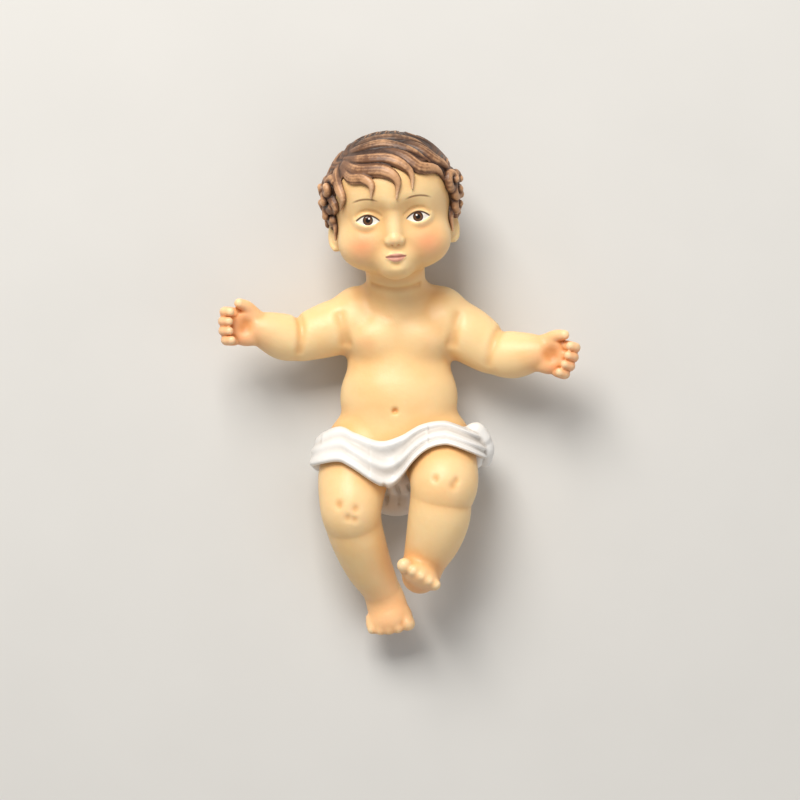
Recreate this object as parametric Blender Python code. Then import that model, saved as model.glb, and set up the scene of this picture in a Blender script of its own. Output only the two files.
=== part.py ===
"""A baby figure cast in resin as one solid, lying on its back with its arms held out.

The crown points to +Y, the front of the body to +Z and the figure's left side to +X. The origin is on
the flat of the back. The figure is carved as clay on a grid, in its own unit, a hundredth of its length.
"""

import math
from collections import namedtuple

import bmesh
import bpy
import numpy as np
from mathutils import Euler, Matrix

FIGURE_LENGTH = 0.070  # crown to toes
TRIANGLES = 9900  # in the finished solid
GRID_STEP = 0.00024  # between the grid points of the clay

UNIT = FIGURE_LENGTH / 100
WHOLE = ((-42, -61, -4), (42, 48, 36))  # two corners of the block of clay for the whole figure
HEAD_BLOCK = ((-22, 4, -3), (20, 48, 36))
FAR = 4.0  # the distance that an empty grid point holds
PINCH_FILL = 0.05  # how deep a filled grid point lies in the clay
FINEST_CARE = 1.2  # how much the thinning spares the finest carving
RIGHT, LEFT = -1, 1  # the figure's own sides, as the sign of X

Shape = namedtuple("Shape", "distance low high")


# Clay: shapes are distances to a surface, below zero inside it


def softened(first, second, blend):
    """The smaller of two distances, rounded over where they come within blend of each other."""
    if not blend:
        return np.minimum(first, second)
    overlap = np.maximum(blend - np.abs(first - second), 0) / blend
    return np.minimum(first, second) - overlap * overlap * (blend / 4)


def turned(tilt):
    """The axes that come from turning by tilt degrees about X, then Y, then Z."""
    return np.array(Euler([math.radians(angle) for angle in tilt]).to_matrix())


def seen_from(points, centre, axes):
    """The three coordinates of the points, measured from centre along the axes."""
    x, y, z = (points[i] - centre[i] for i in range(3))
    return [axes[0][i] * x + axes[1][i] * y + axes[2][i] * z for i in range(3)]


def square(first, second):
    """Three directions at right angles, from one direction and a second that is nearly square to it."""
    first = np.array(first, float) / np.linalg.norm(first)
    second = np.array(second, float) - first * np.dot(first, second)
    second /= np.linalg.norm(second)
    return first, second, np.cross(first, second)


def ball(centre, radii, axes=np.eye(3)):
    """An ellipsoid with three radii along its own axes."""

    def distance(points, margin):
        local = seen_from(points, centre, axes)
        outer = np.sqrt(sum((q / r) ** 2 for q, r in zip(local, radii)))
        steepness = np.sqrt(sum((q / r**2) ** 2 for q, r in zip(local, radii)))
        return outer * (outer - 1) / np.maximum(steepness, 1e-4)

    reach = max(radii)
    return Shape(distance, np.subtract(centre, reach), np.add(centre, reach))


def window(points, low, high):
    """The part of a grid that lies between two corners, and the grid's points there."""
    cut = tuple(
        slice(*np.searchsorted(axis.ravel(), ends)) for axis, *ends in zip(points, low, high)
    )
    return cut, [points[0][cut[0]], points[1][:, cut[1]], points[2][:, :, cut[2]]]


def strand(path, radii):
    """A round rod through the points of a path, with a radius at each point."""
    path = np.array(path, float)

    def distance(points, margin):
        nearest = np.full([axis.size for axis in points], FAR, np.float32)
        for start, end, r0, r1 in zip(path, path[1:], radii, radii[1:]):
            reach = max(r0, r1) + margin
            low, high = np.minimum(start, end) - reach, np.maximum(start, end) + reach
            cut, near = window(points, low, high)
            along = end - start
            to = [near[i] - start[i] for i in range(3)]
            share = np.clip(sum(to[i] * along[i] for i in range(3)) / (along @ along), 0, 1)
            gap = np.sqrt(sum((to[i] - share * along[i]) ** 2 for i in range(3)))
            nearest[cut] = np.minimum(nearest[cut], gap - r0 - (r1 - r0) * share)
        return nearest

    reach = max(radii)
    return Shape(distance, path.min(0) - reach, path.max(0) + reach)


def curve_through(rows, steps):
    """Rows on a smooth curve through the given rows, with steps spans between each two of them."""
    rows = np.array(rows, float)
    padded = np.vstack([2 * rows[0] - rows[1], rows, 2 * rows[-1] - rows[-2]])
    found = []
    for before, here, there, after in zip(padded, padded[1:], padded[2:], padded[3:]):
        for t in np.arange(steps) / steps:
            pull = (there - before) * t + (2 * before - 5 * here + 4 * there - after) * t**2
            pull += (3 * here - 3 * there + after - before) * t**3
            found.append(here + pull / 2)
    return np.array(found + [rows[-1]])


def limb(stations, steps=4):
    """A strand through stations of (x, y, z, radius), smoothed between them."""
    smooth = curve_through(stations, steps)
    return strand(smooth[:, :3], smooth[:, 3])


class Place:
    """An origin on the figure with its own axes, for a group of shapes that belong together."""

    def __init__(self, origin, axes):
        self.origin = np.array(origin, float)
        self.axes = np.array(axes, float)

    def point(self, at):
        return self.origin + self.axes @ np.array(at, float)

    def ball(self, centre, radii, tilt=(0, 0, 0)):
        return ball(self.point(centre), radii, self.axes @ turned(tilt))

    def limb(self, stations, steps=4):
        return limb([(*self.point(row[:3]), row[3]) for row in stations], steps)

    def local(self, points):
        return seen_from(points, self.origin, self.axes)


class Clay:
    """A block of clay: the distance to its surface at each point of a grid."""

    def __init__(self, step, block=WHOLE):
        self.step, self.block = step, block
        axes = [np.arange(low, high, step) for low, high in zip(*block)]
        self.points = np.meshgrid(*axes, indexing="ij", sparse=True)
        self.value = np.full([len(axis) for axis in axes], FAR, np.float32)

    def blended(self, shape, blend, sign):
        margin = blend + 1.5
        low, high = np.subtract(shape.low, margin), np.add(shape.high, margin)
        cut, points = window(self.points, low, high)
        distance = shape.distance(points, margin)
        self.value[cut] = sign * softened(sign * self.value[cut], distance, blend)

    def add(self, shape, blend=0.0):
        self.blended(shape, blend, 1)

    def carve(self, shape, blend=0.0):
        self.blended(shape, blend, -1)

    def merge(self, other, blend):
        """Takes in the clay of another block that lies inside this one."""
        cut, points = window(self.points, *other.block)
        places = np.stack(np.broadcast_arrays(*points), axis=-1)
        value = other.at(places.reshape(-1, 3)).reshape(places.shape[:3])
        self.value[cut] = softened(self.value[cut], value, blend)

    def at(self, places):
        """The distance at any places, from those at the grid points round them."""
        grid = (np.array(places, float) - self.block[0]) / self.step
        base = np.clip(grid.astype(int), 0, np.array(self.value.shape) - 2)
        share = grid - base
        total = np.zeros(len(grid))
        for corner in np.ndindex(2, 2, 2):
            weight = np.where(corner, share, 1 - share).prod(axis=1)
            total += weight * self.value[tuple((base + corner).T)]
        return total

    def reach(self, start, way):
        """How far it is from a start inside to where the clay ends in one direction."""
        steps = np.arange(0, 24, 0.2)
        values = self.at(start + steps[:, None] * way)
        last = np.nonzero(values < 0)[0][-1]
        return steps[last] + 0.2 * values[last] / (values[last] - values[last + 1])


# Head: described from its middle, X to the figure's left, Y to the crown, Z out of the face

HEAD = Place((-1.4, 28.3, 16.0), turned((5, 0, 4.5)))
CRANIUM_CENTRE = (0, 2.7, -1.0)
CRANIUM = (12.0, 11.0, 13.8)
EYE_ASIDE, EYE_LEVEL = 4.9, -2.2  # near half the head's height, an eye's width apart
EYEBALL = 2.8
LID = 0.42  # the thickness of an eyelid
EYE_HALF_WIDTH = 2.3
UPPER_LID, LOWER_LID = 1.15, 0.8  # how far each lid opens from the level of the eye
NOSE_LEVEL = -6.3
MOUTH_LEVEL = -9.4


def carve_skull(clay):
    """The skull, the round cheeks and the chin."""
    clay.add(HEAD.ball(CRANIUM_CENTRE, CRANIUM), 2.0)
    clay.add(HEAD.ball((0, 3.6, 3.2), (10.6, 8.8, 9.6)), 3.0)
    clay.add(HEAD.ball((0, -5.0, 2.2), (10.7, 8.6, 9.2)), 3.0)
    clay.add(HEAD.ball((0, -11.2, 7.6), (3.7, 2.9, 4.1)), 2.0)
    for side in (RIGHT, LEFT):
        clay.add(HEAD.ball((side * 6.0, -7.0, 5.8), (4.8, 4.4, 4.9)), 2.5)


def on_face(clay, x, y, height=0.0):
    """A point of the head at (x, y) seen from the front, at a height over the clay."""
    return x, y, height + clay.reach(HEAD.point((x, y, 0)), HEAD.axes[:, 2])


def carve_face(clay):
    """A calm, even face: open eyes under soft brows, a small nose and closed lips."""
    for side in (RIGHT, LEFT):
        clay.carve(HEAD.ball(on_face(clay, side * 4.4, EYE_LEVEL + 0.2, 2.6), (3.6, 2.7, 2.9)), 2.6)
    for side in (RIGHT, LEFT):
        carve_eye(clay, side)
    carve_nose(clay)
    carve_lips(clay)


def eye_opening(x, y, side):
    """How far a point seen at (x, y) from the front lies outside the opening between the lids."""
    aside = (x - side * EYE_ASIDE) / EYE_HALF_WIDTH
    up = y - EYE_LEVEL - 0.12 * side * aside
    arch = 1 - aside**2
    return np.maximum(up - UPPER_LID * arch, -LOWER_LID * arch - up)


def carve_eye(clay, side):
    """An eyeball under two lids, which leave an almond of it open, and the fold over the upper lid."""
    front = on_face(clay, side * EYE_ASIDE, EYE_LEVEL, 0.5)[2]
    centre = np.array((side * EYE_ASIDE, EYE_LEVEL, front - EYEBALL))
    skin = HEAD.ball(centre, [EYEBALL + LID] * 3)

    def distance(points, margin):
        x, y, z = HEAD.local(points)
        return -softened(-skin.distance(points, margin), eye_opening(x, y, side), 0.5)

    clay.add(Shape(distance, skin.low, skin.high), 0.35)
    clay.add(HEAD.ball(centre, [EYEBALL] * 3))
    fold = []
    for share in np.linspace(-1, 1, 9):
        x, y = 2.5 * share, UPPER_LID + 0.75 - 1.0 * share**2 + 0.12 * side * share
        fold.append((*on_face(clay, *(centre[:2] + (x, y)), 0.12), 0.26 - 0.1 * share**2))
    clay.carve(HEAD.limb(fold, 2), 0.5)


def carve_nose(clay):
    """A small round nose with its wings and nostrils, and the groove below."""
    root, tip = (on_face(clay, 0, y)[2] for y in (EYE_LEVEL, NOSE_LEVEL))
    bridge = [(0, EYE_LEVEL + 0.6, root - 0.9, 0.8), (0, EYE_LEVEL - 1.8, root - 0.5, 0.9)]
    clay.add(HEAD.limb(bridge + [(0, NOSE_LEVEL + 0.5, tip + 0.3, 1.1)]), 1.5)
    clay.add(HEAD.ball((0, NOSE_LEVEL + 0.1, tip + 0.5), (1.25, 1.05, 1.15)), 0.7)
    for side in (RIGHT, LEFT):
        clay.add(HEAD.ball((side * 1.15, NOSE_LEVEL - 0.1, tip + 0.1), (0.75, 0.7, 0.85)), 0.6)
        clay.carve(HEAD.ball((side * 0.6, NOSE_LEVEL - 0.95, tip + 0.6), (0.32, 0.28, 0.4)), 0.25)
    low = NOSE_LEVEL - 1.6
    clay.carve(HEAD.ball(on_face(clay, 0, low, 0.3), (0.4, 0.8, 0.45)), 0.5)


def carve_lips(clay):
    """Two soft lips with a line between them, over a hollow above the chin."""
    clay.add(HEAD.ball(on_face(clay, 0, MOUTH_LEVEL, -2.85), (3.4, 2.2, 3.0)), 2.2)
    clay.carve(HEAD.ball(on_face(clay, 0, MOUTH_LEVEL - 1.7, 0.75), (1.5, 0.5, 0.85)), 1.0)
    upper = [(-2.0, -0.02, 0.15), (-1.0, 0.34, 0.42), (0, 0.24, 0.42), (1.0, 0.34, 0.42), (2.0, -0.02, 0.15)]
    lower = [(-1.6, -0.35, 0.2), (0, -0.72, 0.52), (1.6, -0.35, 0.2)]
    lips = [
        [(*on_face(clay, x, MOUTH_LEVEL + y, 0.1 - 0.5 * r), r) for x, y, r in rows]
        for rows in (upper, lower)
    ]
    for rows in lips:
        clay.add(HEAD.limb(rows), 0.35)
    line = [
        (*on_face(clay, x, MOUTH_LEVEL - 0.14 + 0.07 * x * x / 2.0, 0.06), 0.16)
        for x in np.linspace(-2.2, 2.2, 9)
    ]
    clay.carve(HEAD.limb(line, 2), 0.2)


def carve_ears(clay):
    """Ears from the level of the brow to that of the nose, each with a rim and a bowl."""
    for side in (RIGHT, LEFT):
        ear = Place(HEAD.point((side * 10.9, -4.6, 0.6)), HEAD.axes @ turned((0, side * 50, side * 8)))
        clay.add(ear.ball((0, 0, 0), (2.1, 3.5, 0.9)), 0.8)
        rim = [
            (1.8 * math.sin(turn) * side, 3.0 * math.cos(turn), 0.5, 0.55)
            for turn in np.linspace(-0.3, 3.0, 8)
        ]
        clay.add(ear.limb(rim, 2), 0.3)
        clay.carve(ear.ball((side * 0.1, 0.3, 1.2), (1.0, 1.9, 0.9)), 0.4)


# Hair: a cap of waves that spread from the crown, with locks combed over the forehead and curls at the ears

WHORL = (-0.62, 0.66, -0.42)  # the way from the middle of the cranium to the whorl
WAVES = 20  # round the whorl
WAVE_HEIGHT = 0.85
CAP = 0.35  # the thickness of the hair between the waves
# The locks combed over from the parting, as points (x, y) seen from the front, and a radius
COMBED = (
    ((-8.9, 11.0), (-5.2, 11.6), (-0.6, 12.0), (4.2, 10.4), (7.6, 8.2), 1.2),
    ((-8.6, 10.0), (-4.4, 9.4), (0.4, 8.9), (3.6, 6.6), (3.9, 3.4), 1.25),
    ((-8.8, 9.2), (-5.6, 7.4), (-1.2, 7.0), (1.2, 5.2), (0.9, 1.9), 1.35),
    ((-9.3, 8.4), (-7.2, 6.2), (-4.8, 5.9), (-3.4, 4.6), (-3.7, 2.2), 1.1),
    ((-1.4, 11.4), (2.6, 9.6), (5.4, 7.2), (8.6, 6.6), (10.6, 4.0), 1.35),
    ((1.2, 13.0), (5.4, 11.2), (8.2, 8.8), (10.8, 6.8), (11.8, 3.2), 1.3),
    ((-7.6, 12.0), (-4.0, 13.1), (0.6, 13.2), (5.2, 12.2), (8.8, 10.0), 1.2),
    ((-9.6, 9.6), (-10.2, 7.2), (-9.6, 4.4), (-9.0, 2.4), (-9.9, 0.2), 1.1),
    ((-10.2, 9.0), (-11.7, 6.6), (-12.0, 3.6), (-10.8, 0.8), (-12.2, -1.6), 1.2),
)
# The locks that hang over the nape, as (count, first and last angle down, radius)
NAPE = (13, 84, 124, 1.3)
SIDES_AND_BACK = (74, 286)  # the angles round the head that they cover, from the figure's left
# The curls round each ear, as (angle round the head, angle down, size)
CURLS = ((60, 82, 1.9), (70, 92, 2.1), (80, 82, 1.9), (77, 104, 2.0), (90, 95, 2.1), (92, 112, 1.8))


def over_scalp(clay, way, height):
    """The point of the head over the scalp in one direction from the middle of the cranium."""
    way = np.array(way, float) / np.linalg.norm(way)
    reach = clay.reach(HEAD.point(CRANIUM_CENTRE), HEAD.axes @ way)
    return CRANIUM_CENTRE + way * (reach + height)


def on_scalp(clay, around, down, height):
    """A point over the scalp. Around is 0 at the face and 90 at the left ear, down 0 at the crown."""
    around, down = math.radians(around), math.radians(down)
    out = math.sin(down)
    way = (out * math.sin(around), math.cos(down), out * math.cos(around))
    return over_scalp(clay, way, height)


def seen_on_scalp(clay, x, y, height):
    """A point over the scalp that is seen at (x, y) from the front."""
    up = y - CRANIUM_CENTRE[1]
    shares = np.array((x, up)) / (np.array(CRANIUM[:2]) + 1.2)
    return over_scalp(clay, (x, up, CRANIUM[2] * math.sqrt(max(0, 1 - shares @ shares))), height)


def lock(rows):
    """The strands of a lock along rows of (x, y, z, radius), points of the head."""
    rows = curve_through(rows, 4)
    path, radius = rows[:, :3], rows[:, 3:]
    along = np.gradient(path, axis=0)
    outward = path - CRANIUM_CENTRE
    aside = np.cross(along, outward)
    aside /= np.linalg.norm(aside, axis=1)[:, None]
    outward /= np.linalg.norm(outward, axis=1)[:, None]
    share = np.linspace(0, 1, len(rows))[:, None]
    apart = 0.8 * radius * np.sin(0.9 + (math.pi - 0.9) * share)
    for place, drop in ((-1, 0.4), (0, 0), (1, 0.25)):
        middle = path + aside * apart * place - outward * radius * drop
        world = [HEAD.point(row) for row in middle]
        yield strand(world, (radius[:, 0] * (0.46 + 0.14 * (place == 0))).tolist())


def combed_locks(clay):
    """Each lock rises out of the cap, runs over the head and ends in a point on the forehead."""
    for *path, radius in COMBED:
        rows = []
        for i, (x, y) in enumerate(path):
            share = i / (len(path) - 1)
            height = 0.2 + 2.6 * share - 2.3 * share**2
            thick = radius * (0.7 + 0.6 * share - 1.05 * share**4)
            rows.append((*seen_on_scalp(clay, x, y, height), thick))
        yield from lock(rows)


def nape_locks(clay):
    count, high, low, radius = NAPE
    first, last = SIDES_AND_BACK
    for i in range(count):
        around = first + (last - first) * i / (count - 1)
        rows = []
        for share in np.linspace(0, 1, 6):
            swing = 5 * math.sin(math.tau * share * 0.9 + i * 1.3) * (0.4 + share)
            down = high + (low - high) * share
            height = -0.5 + 2.2 * share - 0.9 * share**2
            rows.append((*on_scalp(clay, around + swing, down, height), radius * (1 - 0.65 * share**3)))
        yield from lock(rows)


def curl(clay, around, down, size, turn_way):
    """A lock that winds inwards to a small boss, close to the head."""
    rows = []
    for share in np.linspace(0, 1, 9):
        angle = turn_way * (math.tau * share + 0.6)
        ring = size * (1 - 0.8 * share) * 4.7
        place = (around + ring * math.cos(angle), down + ring * math.sin(angle))
        rows.append((*on_scalp(clay, *place, 0.5 + 1.3 * share), 0.95 - 0.2 * share))
    yield HEAD.ball(on_scalp(clay, around, down, 0.1), [0.62 * size] * 3)
    yield HEAD.limb(rows, 2)


def waves(points):
    """How high the waves of the cap stand at the points of a grid, between 0 in a groove and 1."""
    local = [axis - middle for axis, middle in zip(HEAD.local(points), CRANIUM_CENTRE)]
    out, up, aside = square(WHORL, (0, 0, 1))
    along = sum(axis * way for axis, way in zip(local, out))
    first = sum(axis * way for axis, way in zip(local, up))
    second = sum(axis * way for axis, way in zip(local, aside))
    away = np.arctan2(np.sqrt(first**2 + second**2), along)
    turn = np.arctan2(second, first)
    turn = turn + 0.5 * away + 0.16 * np.sin(4.2 * away + 2 * turn) + 0.1 * np.sin(9 * away - 3 * turn)
    broad = np.abs(np.sin(turn * WAVES / 2))
    narrow = np.abs(np.sin(turn * WAVES * 1.5 + 0.8))
    combed = np.clip((6.8 - local[2]) / 3.2, 0.12, 1)
    return (0.72 * broad**0.7 + 0.28 * narrow) * np.clip(away / 0.5, 0, 1) * combed


def carve_hair(clay, skull):
    """The waved cap above a hairline that slopes from the forehead to the nape, with its locks."""
    x, y, z = HEAD.local(clay.points)
    hairline = 6.0 + 0.01 * x**2 - y + np.clip(z - 6, -12, 2.5) * 0.75
    hairline = hairline - 1.4 * np.clip(np.abs(x) - 7.5, 0, 4.5)
    thickness = CAP + WAVE_HEIGHT * waves(clay.points)
    clay.value = -softened(thickness - skull.value, -hairline, 0.6).astype(np.float32)
    for shape in combed_locks(skull):
        clay.add(shape, 0.12)
    for shape in nape_locks(skull):
        clay.add(shape, 0.12)
    for side in (RIGHT, LEFT):
        for i, (around, down, size) in enumerate(CURLS):
            for shape in curl(skull, side * around, down, size, side * (-1) ** i):
                clay.add(shape, 0.2)


# Body

NAVEL = (-0.8, -12.2)
DIMPLES = ((-2.4, 0.2), (1.0, -0.4))  # over each kneecap, from its middle


def on_top(clay, x, y, height=0.0):
    """The highest point of the clay at (x, y), seen from above, at a height over it."""
    start = np.array((x, y, 6.0))
    return x, y, 6.0 + height + clay.reach(start, np.array((0, 0, 1.0)))


def carve_torso(clay):
    """Chest, round belly, hips and neck."""
    clay.add(ball((0, 2.0, 7.6), (11.0, 9.5, 7.9)))
    clay.add(ball((0, -9.5, 8.4), (11.7, 11.0, 8.3)), 3.0)
    clay.add(ball((0.2, -19.0, 8.4), (13.6, 8.5, 8.0)), 3.0)
    clay.add(limb([(-8.2, 8.0, 7.8, 4.8), (0, 8.8, 8.0, 5.0), (8.2, 8.0, 7.8, 4.8)]), 3.0)
    clay.add(limb([(-0.2, 6.0, 8.0, 6.2), (-0.4, 11.5, 10.2, 5.8), (-0.9, 17.0, 13.5, 5.9)]), 2.5)
    for side in (RIGHT, LEFT):
        clay.add(ball((side * 6.0, -21.8, 6.4), (6.8, 6.4, 6.3)), 2.5)
        clay.add(ball((side * 5.0, 2.4, 12.0), (4.6, 3.6, 3.6)), 2.5)
    clay.carve(ball(on_top(clay, *NAVEL, -0.1), (0.7, 0.7, 1.0)), 0.8)


# Each arm from shoulder to wrist, as (x, y, z, radius)
ARMS = {
    RIGHT: [
        (-9.0, 5.6, 8.4, 5.6),
        (-13.6, 4.2, 8.6, 5.5),
        (-18.8, 2.5, 9.0, 4.7),
        (-20.6, 2.2, 9.4, 4.4),
        (-23.0, 2.6, 10.4, 4.6),
        (-26.0, 3.7, 11.8, 3.8),
        (-27.9, 4.3, 12.6, 3.0),
    ],
    LEFT: [
        (9.2, 5.6, 8.4, 5.7),
        (13.8, 3.0, 8.6, 5.6),
        (17.6, 0.4, 9.0, 4.9),
        (19.4, -0.5, 9.4, 4.5),
        (22.6, -1.0, 10.4, 4.7),
        (25.6, -0.7, 11.8, 4.0),
        (27.6, -0.5, 12.6, 3.3),
    ],
}
# The directions of each hand's fingers and of its thumb side
HANDS = {RIGHT: ((-1, 0.04, 0.28), (0.05, 1, 0.0)), LEFT: ((1, -0.3, 0.28), (0.3, 1, 0.0))}


def carve_arm(clay, side):
    """A plump arm, with a crease where the forearm starts."""
    clay.add(limb(ARMS[side], 12), 1.6)
    *elbow, thickness = ARMS[side][3]
    _, thumb, palm = square(*HANDS[side])
    ring = []
    for turn in np.linspace(-2.2, 2.2, 12):
        out = thumb * math.cos(turn) + palm * side * math.sin(turn)
        ring.append((*(elbow + out * (thickness + 0.35)), 0.5))
    clay.carve(limb(ring, 2), 1.4)


def carve_hand(clay, side):
    """A small open hand: palm with its two pads, four curled fingers and the thumb."""
    fingers, thumb, palm = square(*HANDS[side])
    hand = Place(ARMS[side][-1][:3], np.column_stack((fingers, thumb, palm * side)))
    clay.add(hand.ball((2.6, 0, 0.1), (3.9, 3.7, 1.9)), 1.2)
    clay.add(hand.ball((2.2, 2.2, 0.9), (2.2, 1.5, 1.4)), 0.6)
    clay.add(hand.ball((2.2, -1.9, 0.7), (2.3, 1.6, 1.3)), 0.6)
    clay.carve(hand.ball((3.6, 0.2, 3.3), (1.9, 2.0, 1.9)), 1.0)
    for row, shorter in ((2.85, 0.2), (0.98, 0.0), (-0.9, 0.15), (-2.7, 0.7)):
        finger = [
            (4.9, row * 0.96, 0.2, 1.15),
            (7.0 - shorter, row, 0.9, 1.1),
            (7.7 - shorter, row, 2.3, 1.02),
            (6.9 - shorter, row, 3.6, 0.85),
        ]
        clay.add(hand.limb(finger, 3), 0.15)
    clay.add(hand.limb([(0.8, 2.3, 0.6, 1.5), (2.8, 4.0, 1.4, 1.25), (4.6, 4.7, 2.0, 1.0)], 3), 0.5)


# Each leg from hip to ankle, as (x, y, z, radius)
LEGS = {
    RIGHT: [
        (-7.2, -19.5, 7.6, 7.4),
        (-9.0, -25.0, 12.0, 7.0),
        (-9.5, -31.0, 15.4, 6.1),
        (-9.0, -34.4, 14.2, 5.6),
        (-8.0, -38.0, 12.6, 5.3),
        (-6.2, -42.8, 9.8, 4.7),
        (-4.4, -46.2, 7.8, 4.0),
        (-3.1, -48.8, 6.4, 3.6),
    ],
    LEFT: [
        (7.2, -19.0, 7.6, 7.4),
        (8.4, -22.4, 13.0, 7.0),
        (8.9, -26.2, 18.2, 6.7),
        (8.3, -29.4, 18.2, 6.1),
        (7.9, -33.0, 17.8, 6.1),
        (6.9, -37.0, 16.8, 5.5),
        (5.4, -41.0, 15.0, 4.4),
        (4.8, -43.6, 13.8, 3.7),
    ],
}
# The direction of each foot's toes and the direction of its big toe side
FEET = {RIGHT: ((0.24, -0.8, 0.42), (0.96, 0.28, 0.0)), LEFT: ((-0.06, 0.12, 0.97), (-0.85, 0.53, 0.0))}
# Each toe from the big one, as (aside, length, radius)
TOES = ((3.0, 7.9, 1.55), (0.85, 8.2, 1.15), (-1.0, 8.0, 1.1), (-2.7, 7.6, 1.05), (-4.2, 6.9, 1.0))


def carve_leg(clay, side):
    """A bent leg, with dimples over the kneecap."""
    clay.add(limb(LEGS[side], 12), 1.5)
    for aside, up in DIMPLES:
        knee = LEGS[side][2]
        clay.carve(ball(on_top(clay, knee[0] + aside, knee[1] + up, 0.35), (0.7, 1.1, 0.8)), 1.2)


def carve_foot(clay, side):
    """A chubby foot: heel, instep, ball and five toes."""
    toes, inner, up = square(*FEET[side])
    foot = Place(LEGS[side][-1][:3], np.column_stack((inner, toes, up * -side)))
    clay.add(foot.ball((0, -1.2, -1.6), (3.5, 3.0, 3.3)), 1.0)
    clay.add(foot.ball((0, 2.8, -1.1), (4.0, 4.8, 2.7)), 1.5)
    clay.add(foot.ball((-0.4, 5.0, -1.6), (4.6, 2.6, 2.0)), 1.0)
    for aside, length, radius in TOES:
        toe = [(aside * 0.95, length - 3.2, -1.3, radius * 0.85), (aside, length - 0.9, -1.5, radius)]
        clay.add(foot.limb(toe, 1), 0.2)


# Loincloth: its two hems as (x, y), seen from the front

UPPER_HEM = ((-19, -18.5), (-12.4, -15.3), (-8.6, -16.5), (-3.8, -18.1), (0.2, -17.1), (4.2, -14.9))
UPPER_HEM += ((8.2, -14.1), (11.2, -14.7), (19, -18.0))
LOWER_HEM = ((-19, -23.6), (-12.7, -22.2), (-9.8, -23.1), (-4.8, -26.4), (-2.0, -27.4), (0.2, -25.8))
LOWER_HEM += ((2.6, -22.4), (5.2, -20.0), (8.2, -18.9), (11.2, -19.3), (19, -22.5))
# Each fold that runs along the cloth, as (share of the way down at the right hip, at the middle, height)
FOLDS = ((0.12, 0.1, 0.75), (0.44, 0.54, 0.75), (0.86, 0.9, 0.75))
FOLD_WIDTH = 0.13


def hem_level(hem, x):
    smooth = curve_through(hem, 6)
    return np.interp(x, smooth[:, 0], smooth[:, 1])


def carve_loincloth(clay, body):
    """A cloth wound round the hips, with folds that run down to the middle and up to the knot."""
    form = Clay(body.step, body.block)
    form.add(ball((0.1, -19.5, 8.6), (14.0, 9.0, 8.0)))
    for side in (RIGHT, LEFT):
        form.add(limb(LEGS[side][:2]), 4.0)
        form.add(ball((side * 6.2, -22.2, 6.6), (7.6, 6.8, 6.3)), 3.0)
    form.add(ball((0, -24.5, 9.5), (5.0, 5.0, 5.5)), 4.0)
    form.add(ball((-12.4, -22.0, 8.5), (3.6, 3.4, 5.5)), 3.0)
    form.value = softened(form.value, body.value, 2.5)
    x, y, z = form.points
    behind = np.clip((9.0 - z) / 6.0, 0, 1)
    upper = hem_level(UPPER_HEM, x) + 0 * z
    lower = hem_level(LOWER_HEM, x) * (1 - behind) - 25.5 * behind
    share = (upper - y) / (upper - lower)
    across = np.clip((x + 15) / 13, 0, 1)
    thickness = 0.7 + 0 * share
    for at_hip, at_middle, height in FOLDS:
        place = at_hip + (at_middle - at_hip) * across
        thickness += height * np.exp(-(((share - place) / FOLD_WIDTH) ** 2))
    thickness *= 0.55 + 0.45 * np.clip(z / 6, 0, 1)
    strip = np.maximum(y - upper, lower - y)
    wrapped = -softened(thickness - form.value, -strip, 0.7)
    clay.value = np.minimum(clay.value, wrapped.astype(np.float32))
    clay.add(ball((0.2, -24.8, 8.6), (7.0, 4.2, 6.2)), 1.5)
    clay.add(ball((-0.6, -28.4, 4.6), (6.4, 4.9, 3.5)), 1.5)
    for aside in (-2.7, -0.2, 2.3):
        crease = [(*on_top(clay, aside + 0.4 * math.sin(y), y, 0.2), 0.45) for y in range(-23, -33, -2)]
        clay.carve(limb(crease), 0.5)
    carve_knot(clay)


def carve_knot(clay):
    """The knot at the left hip, with its loop and its hanging end."""
    clay.add(ball((14.4, -18.4, 10.6), (2.8, 3.2, 3.4)), 0.8)
    clay.add(limb([(13.6, -16.8, 12.3, 1.5), (15.4, -15.9, 12.6, 1.5), (16.8, -17.6, 12.0, 1.5)]), 0.4)
    clay.add(limb([(16.4, -17.4, 11.6, 1.5), (17.4, -19.6, 10.8, 1.6), (17.0, -22.0, 9.4, 1.5)]), 0.4)
    clay.add(limb([(14.4, -18.4, 13.2, 1.3), (15.4, -20.6, 12.6, 1.3), (15.2, -22.4, 11.0, 1.3)]), 0.4)


# Casting: the clay's surface becomes a mesh

CORNERS = list(np.ndindex(2, 2, 2))  # of a grid cell


def corners_to_fill():
    """For each of the 256 ways that a cell's corners lie inside or outside, those that a pinch fills.

    A pinch is where clay would touch itself only along an edge or at a corner.
    """
    table = np.zeros((256, 8), bool)
    for code in range(256):
        inside = np.array([code >> k & 1 for k in range(8)], bool).reshape(2, 2, 2)
        filled = inside.copy()
        for axis in range(3):
            for side in range(2):
                face, spread = np.moveaxis(inside, axis, 0)[side], np.moveaxis(filled, axis, 0)[side]
                if face[0, 0] == face[1, 1] != face[0, 1] == face[1, 0]:
                    spread[:] = True
        for few in (inside, ~inside):
            opposite = any(few[c] and few[tuple(1 - i for i in c)] for c in CORNERS)
            if few.sum() == 2 and opposite:
                filled[:] = True
        table[code] = (filled & ~inside).ravel()
    return table


def crossed_cells(value):
    """The grid cells that the surface passes through, after filling each pinch in the values."""
    table = corners_to_fill()
    while True:
        inside = value < 0
        code = np.zeros([n - 1 for n in inside.shape], np.uint8)
        for k, offset in enumerate(CORNERS):
            code |= inside[tuple(slice(o, o + n) for o, n in zip(offset, code.shape))] * np.uint8(1 << k)
        cells = np.argwhere((code > 0) & (code < 255))
        fill = table[code[tuple(cells.T)]]
        if not fill.any():
            return cells
        for k, offset in enumerate(CORNERS):
            value[tuple((cells[fill[:, k]] + offset).T)] = -PINCH_FILL


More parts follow.
